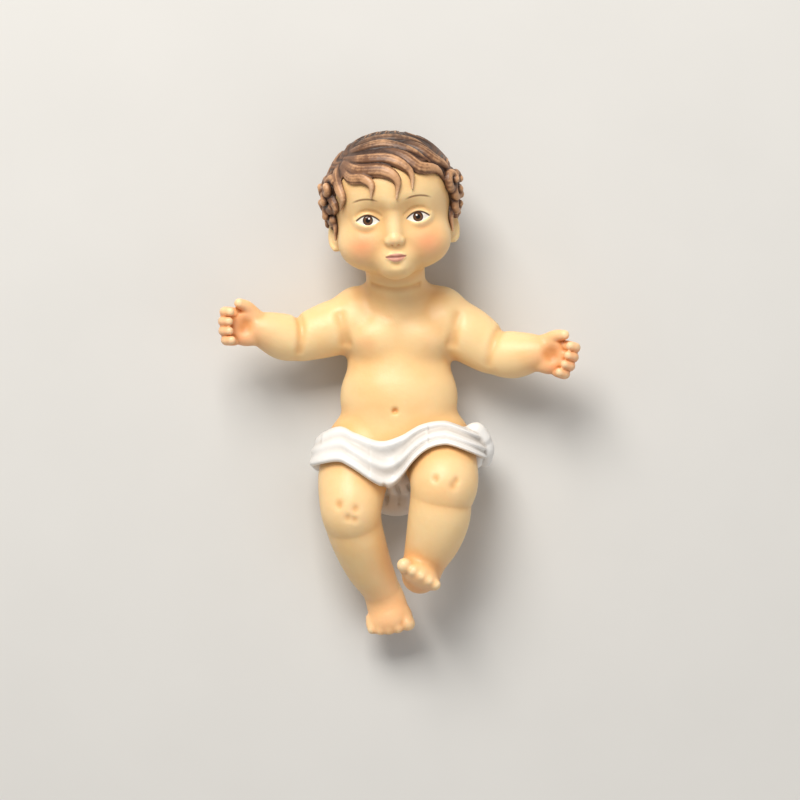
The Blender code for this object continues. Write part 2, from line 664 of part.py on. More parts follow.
def surface_points(value, cells):
    """One point in each cell, at the mean of where the surface crosses the cell's edges."""
    total = np.zeros((len(cells), 3))
    crossings = np.zeros(len(cells))
    for axis in range(3):
        first, second = (i for i in range(3) if i != axis)
        for a, b in np.ndindex(2, 2):
            start = cells.copy()
            start[:, first] += a
            start[:, second] += b
            end = start.copy()
            end[:, axis] += 1
            here, there = value[tuple(start.T)], value[tuple(end.T)]
            crossed = (here < 0) != (there < 0)
            share = here[crossed] / (here[crossed] - there[crossed])
            total[crossed] += start[crossed]
            total[crossed, axis] += share
            crossings += crossed
    return total / crossings[:, None]


def surface_quads(inside, cells):
    """One face round each grid edge that the surface crosses, turned so that it faces out."""
    number = np.full([n - 1 for n in inside.shape], -1, np.int64)
    number[tuple(cells.T)] = np.arange(len(cells))
    quads = []
    for axis in range(3):
        first, second = (axis + 1) % 3, (axis + 2) % 3
        before = np.moveaxis(inside, axis, 0)
        edges = np.argwhere(np.moveaxis(before[:-1] != before[1:], 0, axis))
        ring = []
        for a, b in ((0, 0), (1, 0), (1, 1), (0, 1)):
            cell = edges.copy()
            cell[:, first] -= a
            cell[:, second] -= b
            ring.append(number[tuple(cell.T)])
        ring = np.stack(ring, axis=1)
        outward = inside[tuple(edges.T)]
        quads.append(np.where(outward[:, None], ring, ring[:, ::-1]))
    return np.concatenate(quads)


def largest_shell(points, quads):
    """The points and quads of the largest closed surface, without the pockets sealed inside the clay."""
    label = np.arange(len(points))
    while True:
        lowest = label.copy()
        np.minimum.at(lowest, quads, label[quads].min(axis=1)[:, None])
        lowest = lowest[lowest]
        if (lowest == label).all():
            break
        label = lowest
    kept = label == np.bincount(label).argmax()
    number = np.cumsum(kept) - 1
    return points[kept], number[quads[kept[quads[:, 0]]]]


def cast(clay):
    """The clay's surface, as points in the figure's unit and quads, closed at the edge of the block."""
    value = np.pad(clay.value[1:-1, 1:-1, 1:-1], 1, constant_values=FAR)
    cells = crossed_cells(value)
    points = surface_points(value, cells) * clay.step + np.array(clay.block[0])
    return largest_shell(points, surface_quads(value < 0, cells))


def sculpt(step):
    """The whole figure in clay: flesh, hair and cloth."""
    flesh = Clay(step)
    carve_torso(flesh)
    for side in (RIGHT, LEFT):
        carve_arm(flesh, side)
        carve_hand(flesh, side)
        carve_leg(flesh, side)
        carve_foot(flesh, side)
    head, skull, hair = (Clay(step, HEAD_BLOCK) for _ in range(3))
    carve_skull(head)
    skull.value = head.value.copy()
    carve_face(head)
    carve_ears(head)
    carve_hair(hair, skull)
    flesh.merge(head, 1.5)
    cloth = Clay(step)
    carve_loincloth(cloth, flesh)
    return flesh, hair, cloth


def joined(flesh, hair, cloth):
    """One clay of the three, with the small fillets that a casting has between them."""
    whole = Clay(flesh.step, flesh.block)
    whole.value = softened(flesh.value, cloth.value, 0.2)
    whole.merge(hair, 0.2)
    return whole


def resin():
    material = bpy.data.materials.new("painted_resin")
    material.use_nodes = True
    shader = material.node_tree.nodes["Principled BSDF"]
    shader.inputs["Base Color"].default_value = (0.86, 0.60, 0.34, 1)
    shader.inputs["Roughness"].default_value = 0.5
    shader.inputs["Metallic"].default_value = 0.0
    return material


def keep_finest(figure, places):
    """Marks the eyes, nose, lips, fingers and toes, where the thinned solid keeps smaller triangles."""
    finest = [(HEAD.point((side * EYE_ASIDE, EYE_LEVEL, 11.0)), 2.6, 1.0) for side in (RIGHT, LEFT)]
    finest += [(HEAD.point((0, level, 12.5)), 2.3, 0.8) for level in (NOSE_LEVEL, MOUTH_LEVEL)]
    for side in (RIGHT, LEFT):
        fingers, _, palm = square(*HANDS[side])
        finest.append((ARMS[side][-1][:3] + 6.5 * fingers + 1.8 * side * palm, 3.6, 0.45))
        toes, inner, up = square(*FEET[side])
        finest.append((LEGS[side][-1][:3] + 7.0 * toes + 1.3 * side * up - 0.6 * inner, 4.2, 0.5))
    weight = np.zeros(len(places))
    for middle, reach, strength in finest:
        near = np.exp(-((((places - middle) ** 2).sum(axis=1) / reach**2) ** 2))
        weight = np.maximum(weight, strength * near)
    group = figure.vertex_groups.new(name="finest")
    for i in np.nonzero(weight > 0.02)[0].tolist():
        group.add([i], weight[i], "REPLACE")
    return group


def flatten_back(mesh):
    """Cuts the solid level at Z 0, as the maker grinds the back to lie still, and closes the cut."""
    solid = bmesh.new()
    solid.from_mesh(mesh)
    everything = solid.verts[:] + solid.edges[:] + solid.faces[:]
    cut = bmesh.ops.bisect_plane(
        solid, geom=everything, plane_co=(0, 0, 0), plane_no=(0, 0, -1), clear_outer=True
    )
    rim = [item for item in cut["geom_cut"] if isinstance(item, bmesh.types.BMEdge)]
    bmesh.ops.holes_fill(solid, edges=rim)
    solid.to_mesh(mesh)
    solid.free()


def main():
    for thing in list(bpy.data.objects):
        bpy.data.objects.remove(thing)
    whole = joined(*sculpt(GRID_STEP / UNIT))
    points, quads = cast(whole)
    mesh = bpy.data.meshes.new("infant_figure")
    mesh.from_pydata(points.tolist(), [], quads.tolist())
    figure = bpy.data.objects.new("infant_figure", mesh)
    bpy.context.scene.collection.objects.link(figure)
    smoother = figure.modifiers.new("smoother", "SMOOTH")
    smoother.factor, smoother.iterations = 0.5, 1
    thinner = figure.modifiers.new("thinner", "DECIMATE")
    thinner.ratio = TRIANGLES / (2 * len(quads))
    thinner.vertex_group = keep_finest(figure, points).name
    thinner.invert_vertex_group = True
    thinner.vertex_group_factor = FINEST_CARE
    thinner.use_collapse_triangulate = True
    graph = bpy.context.evaluated_depsgraph_get()
    solid = bpy.data.meshes.new_from_object(figure.evaluated_get(graph))
    figure.modifiers.clear()
    figure.data = solid
    solid.transform(Matrix.Scale(UNIT, 4))
    flatten_back(solid)
    solid.materials.append(resin())
    solid.shade_smooth()
    solid.set_sharp_from_angle(angle=math.radians(50))


main()
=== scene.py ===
"""The baby figure with its carving and its paint, on a pale floor under soft light.

It is carved as clay on a grid, in a unit of a hundredth of its length, and cast as four pieces
that stand for the one solid.
"""

import math
from collections import namedtuple

import bmesh
import bpy
import numpy as np
from mathutils import Euler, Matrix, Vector


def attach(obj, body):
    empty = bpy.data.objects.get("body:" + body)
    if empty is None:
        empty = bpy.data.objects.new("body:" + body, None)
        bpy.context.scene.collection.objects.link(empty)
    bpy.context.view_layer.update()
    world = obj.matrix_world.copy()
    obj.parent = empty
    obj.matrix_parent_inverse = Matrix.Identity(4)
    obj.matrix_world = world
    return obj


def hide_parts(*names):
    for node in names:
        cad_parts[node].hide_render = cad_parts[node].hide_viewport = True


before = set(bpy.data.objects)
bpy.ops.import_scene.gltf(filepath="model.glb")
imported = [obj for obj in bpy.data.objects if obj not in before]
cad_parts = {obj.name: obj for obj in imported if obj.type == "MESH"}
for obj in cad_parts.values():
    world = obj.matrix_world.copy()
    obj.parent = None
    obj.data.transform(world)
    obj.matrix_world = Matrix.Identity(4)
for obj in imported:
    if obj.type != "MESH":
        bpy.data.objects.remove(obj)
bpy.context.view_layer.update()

FIGURE_LENGTH = 0.070  # crown to toes
BODY_STEP, HEAD_STEP, CLOTH_STEP = 0.0002, 0.000125, 0.00014  # between the grid points of the clay
MOST_TRIANGLES = 190000  # in one piece
NECK_CUT = 12.5  # the Y at which the head piece meets the body piece
OVERLAP = 0.45  # how far each of them runs past the cut
NECK_BLEND = 1.5  # where the head runs into the neck
FILLET = 0.2  # between flesh, hair and cloth

UNIT = FIGURE_LENGTH / 100
WHOLE = ((-42, -61, -4), (42, 48, 36))  # two corners of the block of clay for the whole figure
HEAD_BLOCK = ((-22, 4, -3), (20, 48, 36))
HIPS_BLOCK = ((-24, -36, -4), (24, -6, 28))
FAR = 4.0  # the distance that an empty grid point holds
PINCH_FILL = 0.05  # how deep a filled grid point lies in the clay
MARGIN = 1.5  # how far past a shape its distances count
LONGEST_REACH, REACH_STEP = 24, 0.2  # of a search for where the clay ends
SIDES = RIGHT, LEFT = -1, 1  # the figure's own sides, as the sign of X

Shape = namedtuple("Shape", "distance low high")


# Clay: shapes are distances to a surface, below zero inside it


def softened(first, second, blend):
    """The smaller of two distances, rounded over where they are within blend of each other."""
    if not blend:
        return np.minimum(first, second)
    overlap = np.maximum(blend - np.abs(first - second), 0) / blend
    return np.minimum(first, second) - overlap * overlap * (blend / 4)


def turned(tilt):
    """The axes that come from turning by tilt degrees about X, then Y, then Z."""
    return np.array(Euler([math.radians(angle) for angle in tilt]).to_matrix())


def seen_from(points, centre, axes):
    """The three coordinates of the points, measured from centre along the axes."""
    x, y, z = (points[i] - centre[i] for i in range(3))
    return [axes[0][i] * x + axes[1][i] * y + axes[2][i] * z for i in range(3)]


def square(first, second):
    """Three directions at right angles, from two that are nearly so."""
    first = np.array(first, float) / np.linalg.norm(first)
    second = np.array(second, float) - first * np.dot(first, second)
    second /= np.linalg.norm(second)
    return first, second, np.cross(first, second)


def ball(centre, radii, axes=np.eye(3)):
    """An ellipsoid with three radii along its own axes."""

    def distance(points, margin):
        local = seen_from(points, centre, axes)
        outer = np.sqrt(sum((q / r) ** 2 for q, r in zip(local, radii)))
        steepness = np.sqrt(sum((q / r**2) ** 2 for q, r in zip(local, radii)))
        return outer * (outer - 1) / np.maximum(steepness, 1e-4)

    reach = max(radii)
    return Shape(distance, np.subtract(centre, reach), np.add(centre, reach))


def window(points, low, high):
    """The part of a grid between two corners, and its points there."""
    cut = tuple(
        slice(*np.searchsorted(axis.ravel(), ends)) for axis, *ends in zip(points, low, high)
    )
    return cut, [points[0][cut[0]], points[1][:, cut[1]], points[2][:, :, cut[2]]]


def strand(path, radii):
    """A round rod through the points of a path, with a radius at each point."""
    path = np.array(path, float)

    def distance(points, margin):
        nearest = np.full([axis.size for axis in points], FAR, np.float32)
        for start, end, r0, r1 in zip(path, path[1:], radii, radii[1:]):
            reach = max(r0, r1) + margin
            low, high = np.minimum(start, end) - reach, np.maximum(start, end) + reach
            cut, near = window(points, low, high)
            along = end - start
            to = [near[i] - start[i] for i in range(3)]
            share = np.clip(sum(to[i] * along[i] for i in range(3)) / (along @ along), 0, 1)
            gap = np.sqrt(sum((to[i] - share * along[i]) ** 2 for i in range(3)))
            nearest[cut] = np.minimum(nearest[cut], gap - r0 - (r1 - r0) * share)
        return nearest

    reach = max(radii)
    return Shape(distance, path.min(0) - reach, path.max(0) + reach)


def curve_through(rows, steps):
    """Rows on a smooth curve through the given rows, with steps spans between two of them."""
    rows = np.array(rows, float)
    padded = np.vstack([2 * rows[0] - rows[1], rows, 2 * rows[-1] - rows[-2]])
    found = []
    for before, here, there, after in zip(padded, padded[1:], padded[2:], padded[3:]):
        for t in np.arange(steps) / steps:
            pull = (there - before) * t + (2 * before - 5 * here + 4 * there - after) * t**2
            pull += (3 * here - 3 * there + after - before) * t**3
            found.append(here + pull / 2)
    return np.array(found + [rows[-1]])


def limb(stations, steps=4):
    """A strand through stations of (x, y, z, radius), smoothed between them."""
    smooth = curve_through(stations, steps)
    return strand(smooth[:, :3], smooth[:, 3])


class Place:
    """An origin with its own axes, for shapes that belong together."""

    def __init__(self, origin, axes):
        self.origin = np.array(origin, float)
        self.axes = np.array(axes, float)

    def point(self, at):
        return self.origin + self.axes @ np.array(at, float)

    def ball(self, centre, radii):
        return ball(self.point(centre), radii, self.axes)

    def limb(self, stations, steps=4):
        return limb([(*self.point(row[:3]), row[3]) for row in stations], steps)

    def local(self, points):
        return seen_from(points, self.origin, self.axes)


class Clay:
    """A block of clay: the distance to its surface at each point of a grid."""

    def __init__(self, step, block=WHOLE):
        self.step, self.block = step, block
        axes = [np.arange(low, high, step) for low, high in zip(*block)]
        self.points = np.meshgrid(*axes, indexing="ij", sparse=True)
        self.value = np.full([len(axis) for axis in axes], FAR, np.float32)

    def blended(self, shape, blend, sign):
        margin = blend + MARGIN
        low, high = np.subtract(shape.low, margin), np.add(shape.high, margin)
        cut, points = window(self.points, low, high)
        distance = shape.distance(points, margin)
        self.value[cut] = sign * softened(sign * self.value[cut], distance, blend)

    def add(self, shape, blend=0.0):
        self.blended(shape, blend, 1)

    def carve(self, shape, blend):
        self.blended(shape, blend, -1)

    def add_balls(self, place, rows, side=1):
        """Adds a ball at a place for each row of its centre, its radii and its blend."""
        for x, *centre, a, b, c, blend in rows:
            self.add(place.ball((side * x, *centre), (a, b, c)), blend)

    def merge(self, other, blend):
        """Takes in the clay of another block that lies inside this one."""
        cut, points = window(self.points, *other.block)
        places = np.stack(np.broadcast_arrays(*points), axis=-1)
        value = other.at(places.reshape(-1, 3)).reshape(places.shape[:3])
        self.value[cut] = softened(self.value[cut], value, blend)

    def at(self, places):
        """The distance at any places, from the grid points round them."""
        grid = (np.array(places, float) - self.block[0]) / self.step
        base = np.clip(grid.astype(int), 0, np.array(self.value.shape) - 2)
        share = grid - base
        total = np.zeros(len(grid))
        for corner in np.ndindex(2, 2, 2):
            weight = np.where(corner, share, 1 - share).prod(axis=1)
            total += weight * self.value[tuple((base + corner).T)]
        return total

    def reach(self, start, way):
        """How far it is from a start inside to where the clay ends one way."""
        steps = np.arange(0, LONGEST_REACH, REACH_STEP)
        values = self.at(start + steps[:, None] * way)
        last = np.nonzero(values < 0)[0][-1]
        return steps[last] + REACH_STEP * values[last] / (values[last] - values[last + 1])


BODY = Place((0, 0, 0), np.eye(3))


# Head: described from its middle, X to the figure's left, Y to the crown, Z out of the face

HEAD = Place((-1.4, 28.3, 16.0), turned((5, 0, 4.5)))
CRANIUM_CENTRE = (0, 2.7, -1.0)
CRANIUM = (12.0, 11.0, 13.8)
# Balls of the head, as (x, y, z, three radii, blend)
SKULL = ((*CRANIUM_CENTRE, *CRANIUM, 2.0), (0, 3.6, 3.2, 10.6, 8.8, 9.6, 3.0))
SKULL += ((0, -5.0, 2.2, 10.7, 8.6, 9.2, 3.0), (0, -11.2, 7.6, 3.7, 2.9, 4.1, 2.0))
CHEEK_BALL = ((6.0, -7.0, 5.8, 4.8, 4.4, 4.9, 2.5),)
EYE_ASIDE, EYE_LEVEL = 4.9, -2.2  # near half the head's height, an eye's width apart
EYEBALL = 2.8
LID = 0.42  # the thickness of an eyelid
EYE_HALF_WIDTH = 2.3
EYE_SLANT = 0.12  # how far an eye's outer corner stands over its middle
UPPER_LID, LOWER_LID = 1.15, 0.8  # how far each lid opens from the level of the eye
NOSE_LEVEL = -6.3
MOUTH_LEVEL = -9.4


def carve_skull(clay):
    """The skull, the round cheeks and the chin."""
    clay.add_balls(HEAD, SKULL)
    for side in SIDES:
        clay.add_balls(HEAD, CHEEK_BALL, side)


def on_face(clay, x, y, height=0.0):
    """A point of the head at (x, y) seen from the front, at a height over the clay."""
    return x, y, height + clay.reach(HEAD.point((x, y, 0)), HEAD.axes[:, 2])


def carve_face(clay):
    """A calm, even face: open eyes under soft brows, a small nose and closed lips."""
    for side in SIDES:
        clay.carve(HEAD.ball(on_face(clay, side * 4.4, EYE_LEVEL + 0.2, 2.6), (3.6, 2.7, 2.9)), 2.6)
    for side in SIDES:
        carve_eye(clay, side)
    carve_nose(clay)
    carve_lips(clay)


def eye_opening(x, y, side):
    """How far a point seen at (x, y) lies outside the opening between the lids."""
    aside = (x - side * EYE_ASIDE) / EYE_HALF_WIDTH
    up = y - EYE_LEVEL - EYE_SLANT * side * aside
    arch = 1 - aside**2
    return np.maximum(up - UPPER_LID * arch, -LOWER_LID * arch - up)


def carve_eye(clay, side):
    """An eyeball under two lids that leave an almond open, and the fold over the upper one."""
    front = on_face(clay, side * EYE_ASIDE, EYE_LEVEL, 0.5)[2]
    centre = np.array((side * EYE_ASIDE, EYE_LEVEL, front - EYEBALL))
    skin = HEAD.ball(centre, [EYEBALL + LID] * 3)

    def distance(points, margin):
        x, y, z = HEAD.local(points)
        return -softened(-skin.distance(points, margin), eye_opening(x, y, side), 0.5)

    clay.add(Shape(distance, skin.low, skin.high), 0.35)
    clay.add(HEAD.ball(centre, [EYEBALL] * 3))
    fold = []
    for share in np.linspace(-1, 1, 9):
        x, y = 2.5 * share, UPPER_LID + 0.75 - 1.0 * share**2 + EYE_SLANT * side * share
        fold.append((*on_face(clay, *(centre[:2] + (x, y)), 0.12), 0.26 - 0.1 * share**2))
    clay.carve(HEAD.limb(fold, 2), 0.5)


def carve_nose(clay):
    """A small round nose with its wings and nostrils, and the groove below."""
    root, tip = (on_face(clay, 0, y)[2] for y in (EYE_LEVEL, NOSE_LEVEL))
    bridge = [(0, EYE_LEVEL + 0.6, root - 0.9, 0.8), (0, EYE_LEVEL - 1.8, root - 0.5, 0.9)]
    clay.add(HEAD.limb(bridge + [(0, NOSE_LEVEL + 0.5, tip + 0.3, 1.1)]), 1.5)
    clay.add(HEAD.ball((0, NOSE_LEVEL + 0.1, tip + 0.5), (1.25, 1.05, 1.15)), 0.7)
    for side in SIDES:
        clay.add(HEAD.ball((side * 1.15, NOSE_LEVEL - 0.1, tip + 0.1), (0.75, 0.7, 0.85)), 0.6)
        clay.carve(HEAD.ball((side * 0.6, NOSE_LEVEL - 0.95, tip + 0.6), (0.32, 0.28, 0.4)), 0.25)
    low = NOSE_LEVEL - 1.6
    clay.carve(HEAD.ball(on_face(clay, 0, low, 0.3), (0.4, 0.8, 0.45)), 0.5)


def carve_lips(clay):
    """Two soft lips with a line between them, over a hollow above the chin."""
    clay.add(HEAD.ball(on_face(clay, 0, MOUTH_LEVEL, -2.85), (3.4, 2.2, 3.0)), 2.2)
    clay.carve(HEAD.ball(on_face(clay, 0, MOUTH_LEVEL - 1.7, 0.75), (1.5, 0.5, 0.85)), 1.0)
    upper = [(-2.0, -0.02, 0.15), (-1.0, 0.34, 0.42), (0, 0.24, 0.42)]
    upper += [(1.0, 0.34, 0.42), (2.0, -0.02, 0.15)]
    lower = [(-1.6, -0.35, 0.2), (0, -0.72, 0.52), (1.6, -0.35, 0.2)]
    lips = [
        [(*on_face(clay, x, MOUTH_LEVEL + y, 0.1 - 0.5 * r), r) for x, y, r in rows]
        for rows in (upper, lower)
    ]
    for rows in lips:
        clay.add(HEAD.limb(rows), 0.35)
    line = [
        (*on_face(clay, x, MOUTH_LEVEL - 0.14 + 0.07 * x * x / 2.0, 0.06), 0.16)
        for x in np.linspace(-2.2, 2.2, 9)
    ]
    clay.carve(HEAD.limb(line, 2), 0.2)


def carve_ears(clay):
    """Ears from the level of the brow to that of the nose, each with a rim and a bowl."""
    for side in SIDES:
        tilt = turned((0, side * 50, side * 8))
        ear = Place(HEAD.point((side * 10.9, -4.6, 0.6)), HEAD.axes @ tilt)
        clay.add(ear.ball((0, 0, 0), (2.1, 3.5, 0.9)), 0.8)
        rim = [
            (1.8 * math.sin(turn) * side, 3.0 * math.cos(turn), 0.5, 0.55)
            for turn in np.linspace(-0.3, 3.0, 8)
        ]
        clay.add(ear.limb(rim, 2), 0.3)
        clay.carve(ear.ball((side * 0.1, 0.3, 1.2), (1.0, 1.9, 0.9)), 0.4)


# Hair: a cap of waves that spread from the whorl, with locks combed over it and curls at the ears

WHORL = (-0.62, 0.66, -0.42)  # the way from the middle of the cranium to the whorl
WAVES = 20  # round the whorl
WAVE_HEIGHT = 0.85
CAP = 0.35  # the thickness of the hair between the waves
# The strands side by side in a lock, as (aside, drop, radius), in shares of the lock's own radius
STRANDS = ((-1.1, 0.42, 0.36), (-0.55, 0.1, 0.44), (0, 0.03, 0.42), (0.55, 0.12, 0.44))
STRANDS += ((1.1, 0.4, 0.34),)
LOCK_SPREAD = 0.8
LOCK_ROOT = 0.9  # how far the root is opened, between 0 and half pi
# The locks combed over from the parting, as points (x, y) seen from the front, and a radius
COMBED = (
    ((-8.9, 11.0), (-5.2, 11.6), (-0.6, 12.0), (4.2, 10.4), (7.6, 8.2), 1.2),
    ((-8.6, 10.0), (-4.4, 9.4), (0.4, 8.9), (3.6, 6.6), (3.9, 3.4), 1.25),
    ((-8.8, 9.2), (-5.6, 7.4), (-1.2, 7.0), (1.2, 5.2), (0.9, 1.9), 1.35),
    ((-9.3, 8.4), (-7.2, 6.2), (-4.8, 5.9), (-3.4, 4.6), (-3.7, 2.2), 1.1),
    ((-1.4, 11.4), (2.6, 9.6), (5.4, 7.2), (8.6, 6.6), (10.6, 4.0), 1.35),
    ((1.2, 13.0), (5.4, 11.2), (8.2, 8.8), (10.8, 6.8), (11.8, 3.2), 1.3),
    ((-7.6, 12.0), (-4.0, 13.1), (0.6, 13.2), (5.2, 12.2), (8.8, 10.0), 1.2),
    ((-9.6, 9.6), (-10.2, 7.2), (-9.6, 4.4), (-9.0, 2.4), (-9.9, 0.2), 1.1),
    ((-10.2, 9.0), (-11.7, 6.6), (-12.0, 3.6), (-10.8, 0.8), (-12.2, -1.6), 1.2),
)
# The locks that hang over the nape, as (count, first and last angle down, radius)
NAPE = (13, 84, 124, 1.3)
SIDES_AND_BACK = (74, 286)  # the angles round the head that they cover, from the figure's left
# The curls round each ear, as (angle round the head, angle down, size)
CURLS = ((60, 82, 1.9), (70, 92, 2.1), (80, 82, 1.9), (77, 104, 2.0), (90, 95, 2.1), (92, 112, 1.8))


def over_scalp(clay, way, height):
    """The point of the head over the scalp in one direction from the middle of the cranium."""
    way = np.array(way, float) / np.linalg.norm(way)
    reach = clay.reach(HEAD.point(CRANIUM_CENTRE), HEAD.axes @ way)
    return CRANIUM_CENTRE + way * (reach + height)


def on_scalp(clay, around, down, height):
    """A point over the scalp: around is 0 at the face, 90 at the left ear, down 0 at the crown."""
    around, down = math.radians(around), math.radians(down)
    out = math.sin(down)
    way = (out * math.sin(around), math.cos(down), out * math.cos(around))
    return over_scalp(clay, way, height)


def seen_on_scalp(clay, x, y, height):
    """A point over the scalp that is seen at (x, y) from the front."""
    up = y - CRANIUM_CENTRE[1]
    shares = np.array((x, up)) / (np.array(CRANIUM[:2]) + 1.2)
    return over_scalp(clay, (x, up, CRANIUM[2] * math.sqrt(max(0, 1 - shares @ shares))), height)


def lock(rows):
    """The strands of a lock along rows of (x, y, z, radius), points of the head."""
    rows = curve_through(rows, 4)
    path, radius = rows[:, :3], rows[:, 3:]
    along = np.gradient(path, axis=0)
    outward = path - CRANIUM_CENTRE
    aside = np.cross(along, outward)
    aside /= np.linalg.norm(aside, axis=1)[:, None]
    outward /= np.linalg.norm(outward, axis=1)[:, None]
    share = np.linspace(0, 1, len(rows))[:, None]
    apart = LOCK_SPREAD * radius * np.sin(LOCK_ROOT + (math.pi - LOCK_ROOT) * share)
    for place, drop, thick in STRANDS:
        middle = path + aside * apart * place - outward * radius * drop
        world = [HEAD.point(row) for row in middle]
        yield strand(world, (radius[:, 0] * thick).tolist())


def combed_locks(clay):
    """Locks that rise out of the cap and end in a point on the forehead."""
    for *path, radius in COMBED:
        rows = []
        for i, (x, y) in enumerate(path):
            share = i / (len(path) - 1)
            height = 0.2 + 2.6 * share - 2.3 * share**2
            thick = radius * (0.7 + 0.6 * share - 1.05 * share**4)
            rows.append((*seen_on_scalp(clay, x, y, height), thick))
        yield from lock(rows)


def nape_locks(clay):
    """Locks that hang over the nape and sway a little."""
    count, high, low, radius = NAPE
    first, last = SIDES_AND_BACK
    for i in range(count):
        around = first + (last - first) * i / (count - 1)
        rows = []
        for share in np.linspace(0, 1, 6):
            swing = 5 * math.sin(math.tau * share * 0.9 + i * 1.3) * (0.4 + share)
            down = high + (low - high) * share
            height = -0.5 + 2.2 * share - 0.9 * share**2
            thick = radius * (1 - 0.65 * share**3)
            rows.append((*on_scalp(clay, around + swing, down, height), thick))
        yield from lock(rows)


def curl(clay, around, down, size, turn_way):
    """A lock that winds inwards to a small boss, close to the head."""
    rows = []
    for share in np.linspace(0, 1, 9):
        angle = turn_way * (math.tau * share + 0.6)
        ring = size * (1 - 0.8 * share) * 4.7
        place = (around + ring * math.cos(angle), down + ring * math.sin(angle))
        rows.append((*on_scalp(clay, *place, 0.5 + 1.3 * share), 0.95 - 0.2 * share))
    yield HEAD.ball(on_scalp(clay, around, down, 0.1), [0.62 * size] * 3)
    yield HEAD.limb(rows, 2)


def waves(points):
    """How high the waves of the cap stand at the points, from 0 in a groove to 1."""
    local = [axis - middle for axis, middle in zip(HEAD.local(points), CRANIUM_CENTRE)]
    out, up, aside = square(WHORL, (0, 0, 1))
    along = sum(axis * way for axis, way in zip(local, out))
    first = sum(axis * way for axis, way in zip(local, up))
    second = sum(axis * way for axis, way in zip(local, aside))
    away = np.arctan2(np.sqrt(first**2 + second**2), along)
    turn = np.arctan2(second, first)
    sway = 0.16 * np.sin(4.2 * away + 2 * turn) + 0.1 * np.sin(9 * away - 3 * turn)
    turn = turn + 0.5 * away + sway
    broad = np.abs(np.sin(turn * WAVES / 2))
    narrow = np.abs(np.sin(turn * WAVES * 1.5 + 0.8))
    combed = np.clip((6.8 - local[2]) / 3.2, 0.12, 1)
    return (0.72 * broad**0.7 + 0.28 * narrow) * np.clip(away / 0.5, 0, 1) * combed


def carve_hair(clay, skull):
    """The waved cap above a hairline that slopes to the nape, with its locks."""
    x, y, z = HEAD.local(clay.points)
    hairline = 6.0 + 0.01 * x**2 - y + np.clip(z - 6, -12, 2.5) * 0.75
    hairline = hairline - 1.4 * np.clip(np.abs(x) - 7.5, 0, 4.5)
    thickness = CAP + WAVE_HEIGHT * waves(clay.points)
    clay.value = -softened(thickness - skull.value, -hairline, 0.6).astype(np.float32)
    for shape in combed_locks(skull):
        clay.add(shape, 0.12)
    for shape in nape_locks(skull):
        clay.add(shape, 0.12)
    for side in SIDES:
        for i, (around, down, size) in enumerate(CURLS):
            for shape in curl(skull, side * around, down, size, side * (-1) ** i):
                clay.add(shape, 0.2)


# Body

# Balls of the torso, as (x, y, z, three radii, blend)
TRUNK = ((0, 2.0, 7.6, 11.0, 9.5, 7.9, 0), (0, -9.5, 8.4, 11.7, 11.0, 8.3, 3.0))
TRUNK += ((0.2, -19.0, 8.4, 13.6, 8.5, 8.0, 3.0),)
SEAT_AND_BREAST = ((6.0, -21.8, 6.4, 6.8, 6.4, 6.3, 2.5), (5.0, 2.4, 12.0, 4.6, 3.6, 3.6, 2.5))
NAVEL = (-0.8, -12.2)
# The dimples over each kneecap, as (aside, up, size) from its middle
DIMPLES = {
    RIGHT: ((-2.5, 0.4, 0.62), (1.1, -0.4, 0.6), (-0.5, -2.3, 0.42), (0.9, -2.6, 0.3)),
    LEFT: ((-1.9, 0.9, 0.42), (1.9, -0.5, 0.62), (2.5, 0.6, 0.3)),
}


def on_top(clay, x, y, height):
    """The highest point of the clay at (x, y), seen from above, at a height over it."""
    start = np.array((x, y, 6.0))
    return x, y, 6.0 + height + clay.reach(start, np.array((0, 0, 1.0)))


def carve_torso(clay):
    """Chest, round belly, hips and neck."""
    clay.add_balls(BODY, TRUNK)
    clay.add(limb([(-8.2, 8.0, 7.8, 4.8), (0, 8.8, 8.0, 5.0), (8.2, 8.0, 7.8, 4.8)]), 3.0)
    clay.add(limb([(-0.2, 6.0, 8.0, 6.2), (-0.4, 11.5, 10.2, 5.8), (-0.9, 17.0, 13.5, 5.9)]), 2.5)
    for side in SIDES:
        clay.add_balls(BODY, SEAT_AND_BREAST, side)
    clay.carve(ball(on_top(clay, *NAVEL, -0.1), (0.5, 0.5, 0.9)), 0.8)


def carve_neck(clay):
    """The fold round the neck."""
    across = np.linspace(-4.8, 4.8, 7)
    fold = [(*on_top(clay, x - 0.6, 11.7 + 0.05 * x * x, 0.15), 0.35) for x in across]
    clay.carve(limb(fold, 2), 0.9)


# Each arm from shoulder to wrist, as (x, y, z, radius)
ARMS = {
    RIGHT: [
        (-9.0, 5.6, 8.4, 5.6), (-13.6, 4.2, 8.6, 5.5), (-18.8, 2.5, 9.0, 4.7),
        (-20.6, 2.2, 9.4, 4.4), (-23.0, 2.6, 10.4, 4.6), (-26.0, 3.7, 11.8, 3.8),
        (-27.9, 4.3, 12.6, 3.0),
    ],
    LEFT: [
        (9.2, 5.6, 8.4, 5.7), (13.8, 3.0, 8.6, 5.6), (17.6, 0.4, 9.0, 4.9), (19.4, -0.5, 9.4, 4.5),
        (22.6, -1.0, 10.4, 4.7), (25.6, -0.7, 11.8, 4.0), (27.6, -0.5, 12.6, 3.3),
    ],
}
ELBOW_CREASE = {RIGHT: 0.5, LEFT: 0.72}  # how far out of the skin the middle of its groove runs
PALM = ((2.6, 0, 0.1, 3.9, 3.7, 1.9, 1.2), (2.2, 2.2, 0.9, 2.2, 1.5, 1.4, 0.6))
PALM += ((2.2, -1.9, 0.7, 2.3, 1.6, 1.3, 0.6),)
# The directions of each hand's fingers and of its thumb side
HANDS = {RIGHT: ((-1, 0.04, 0.28), (0.05, 1, 0.0)), LEFT: ((1, -0.3, 0.28), (0.3, 1, 0.0))}


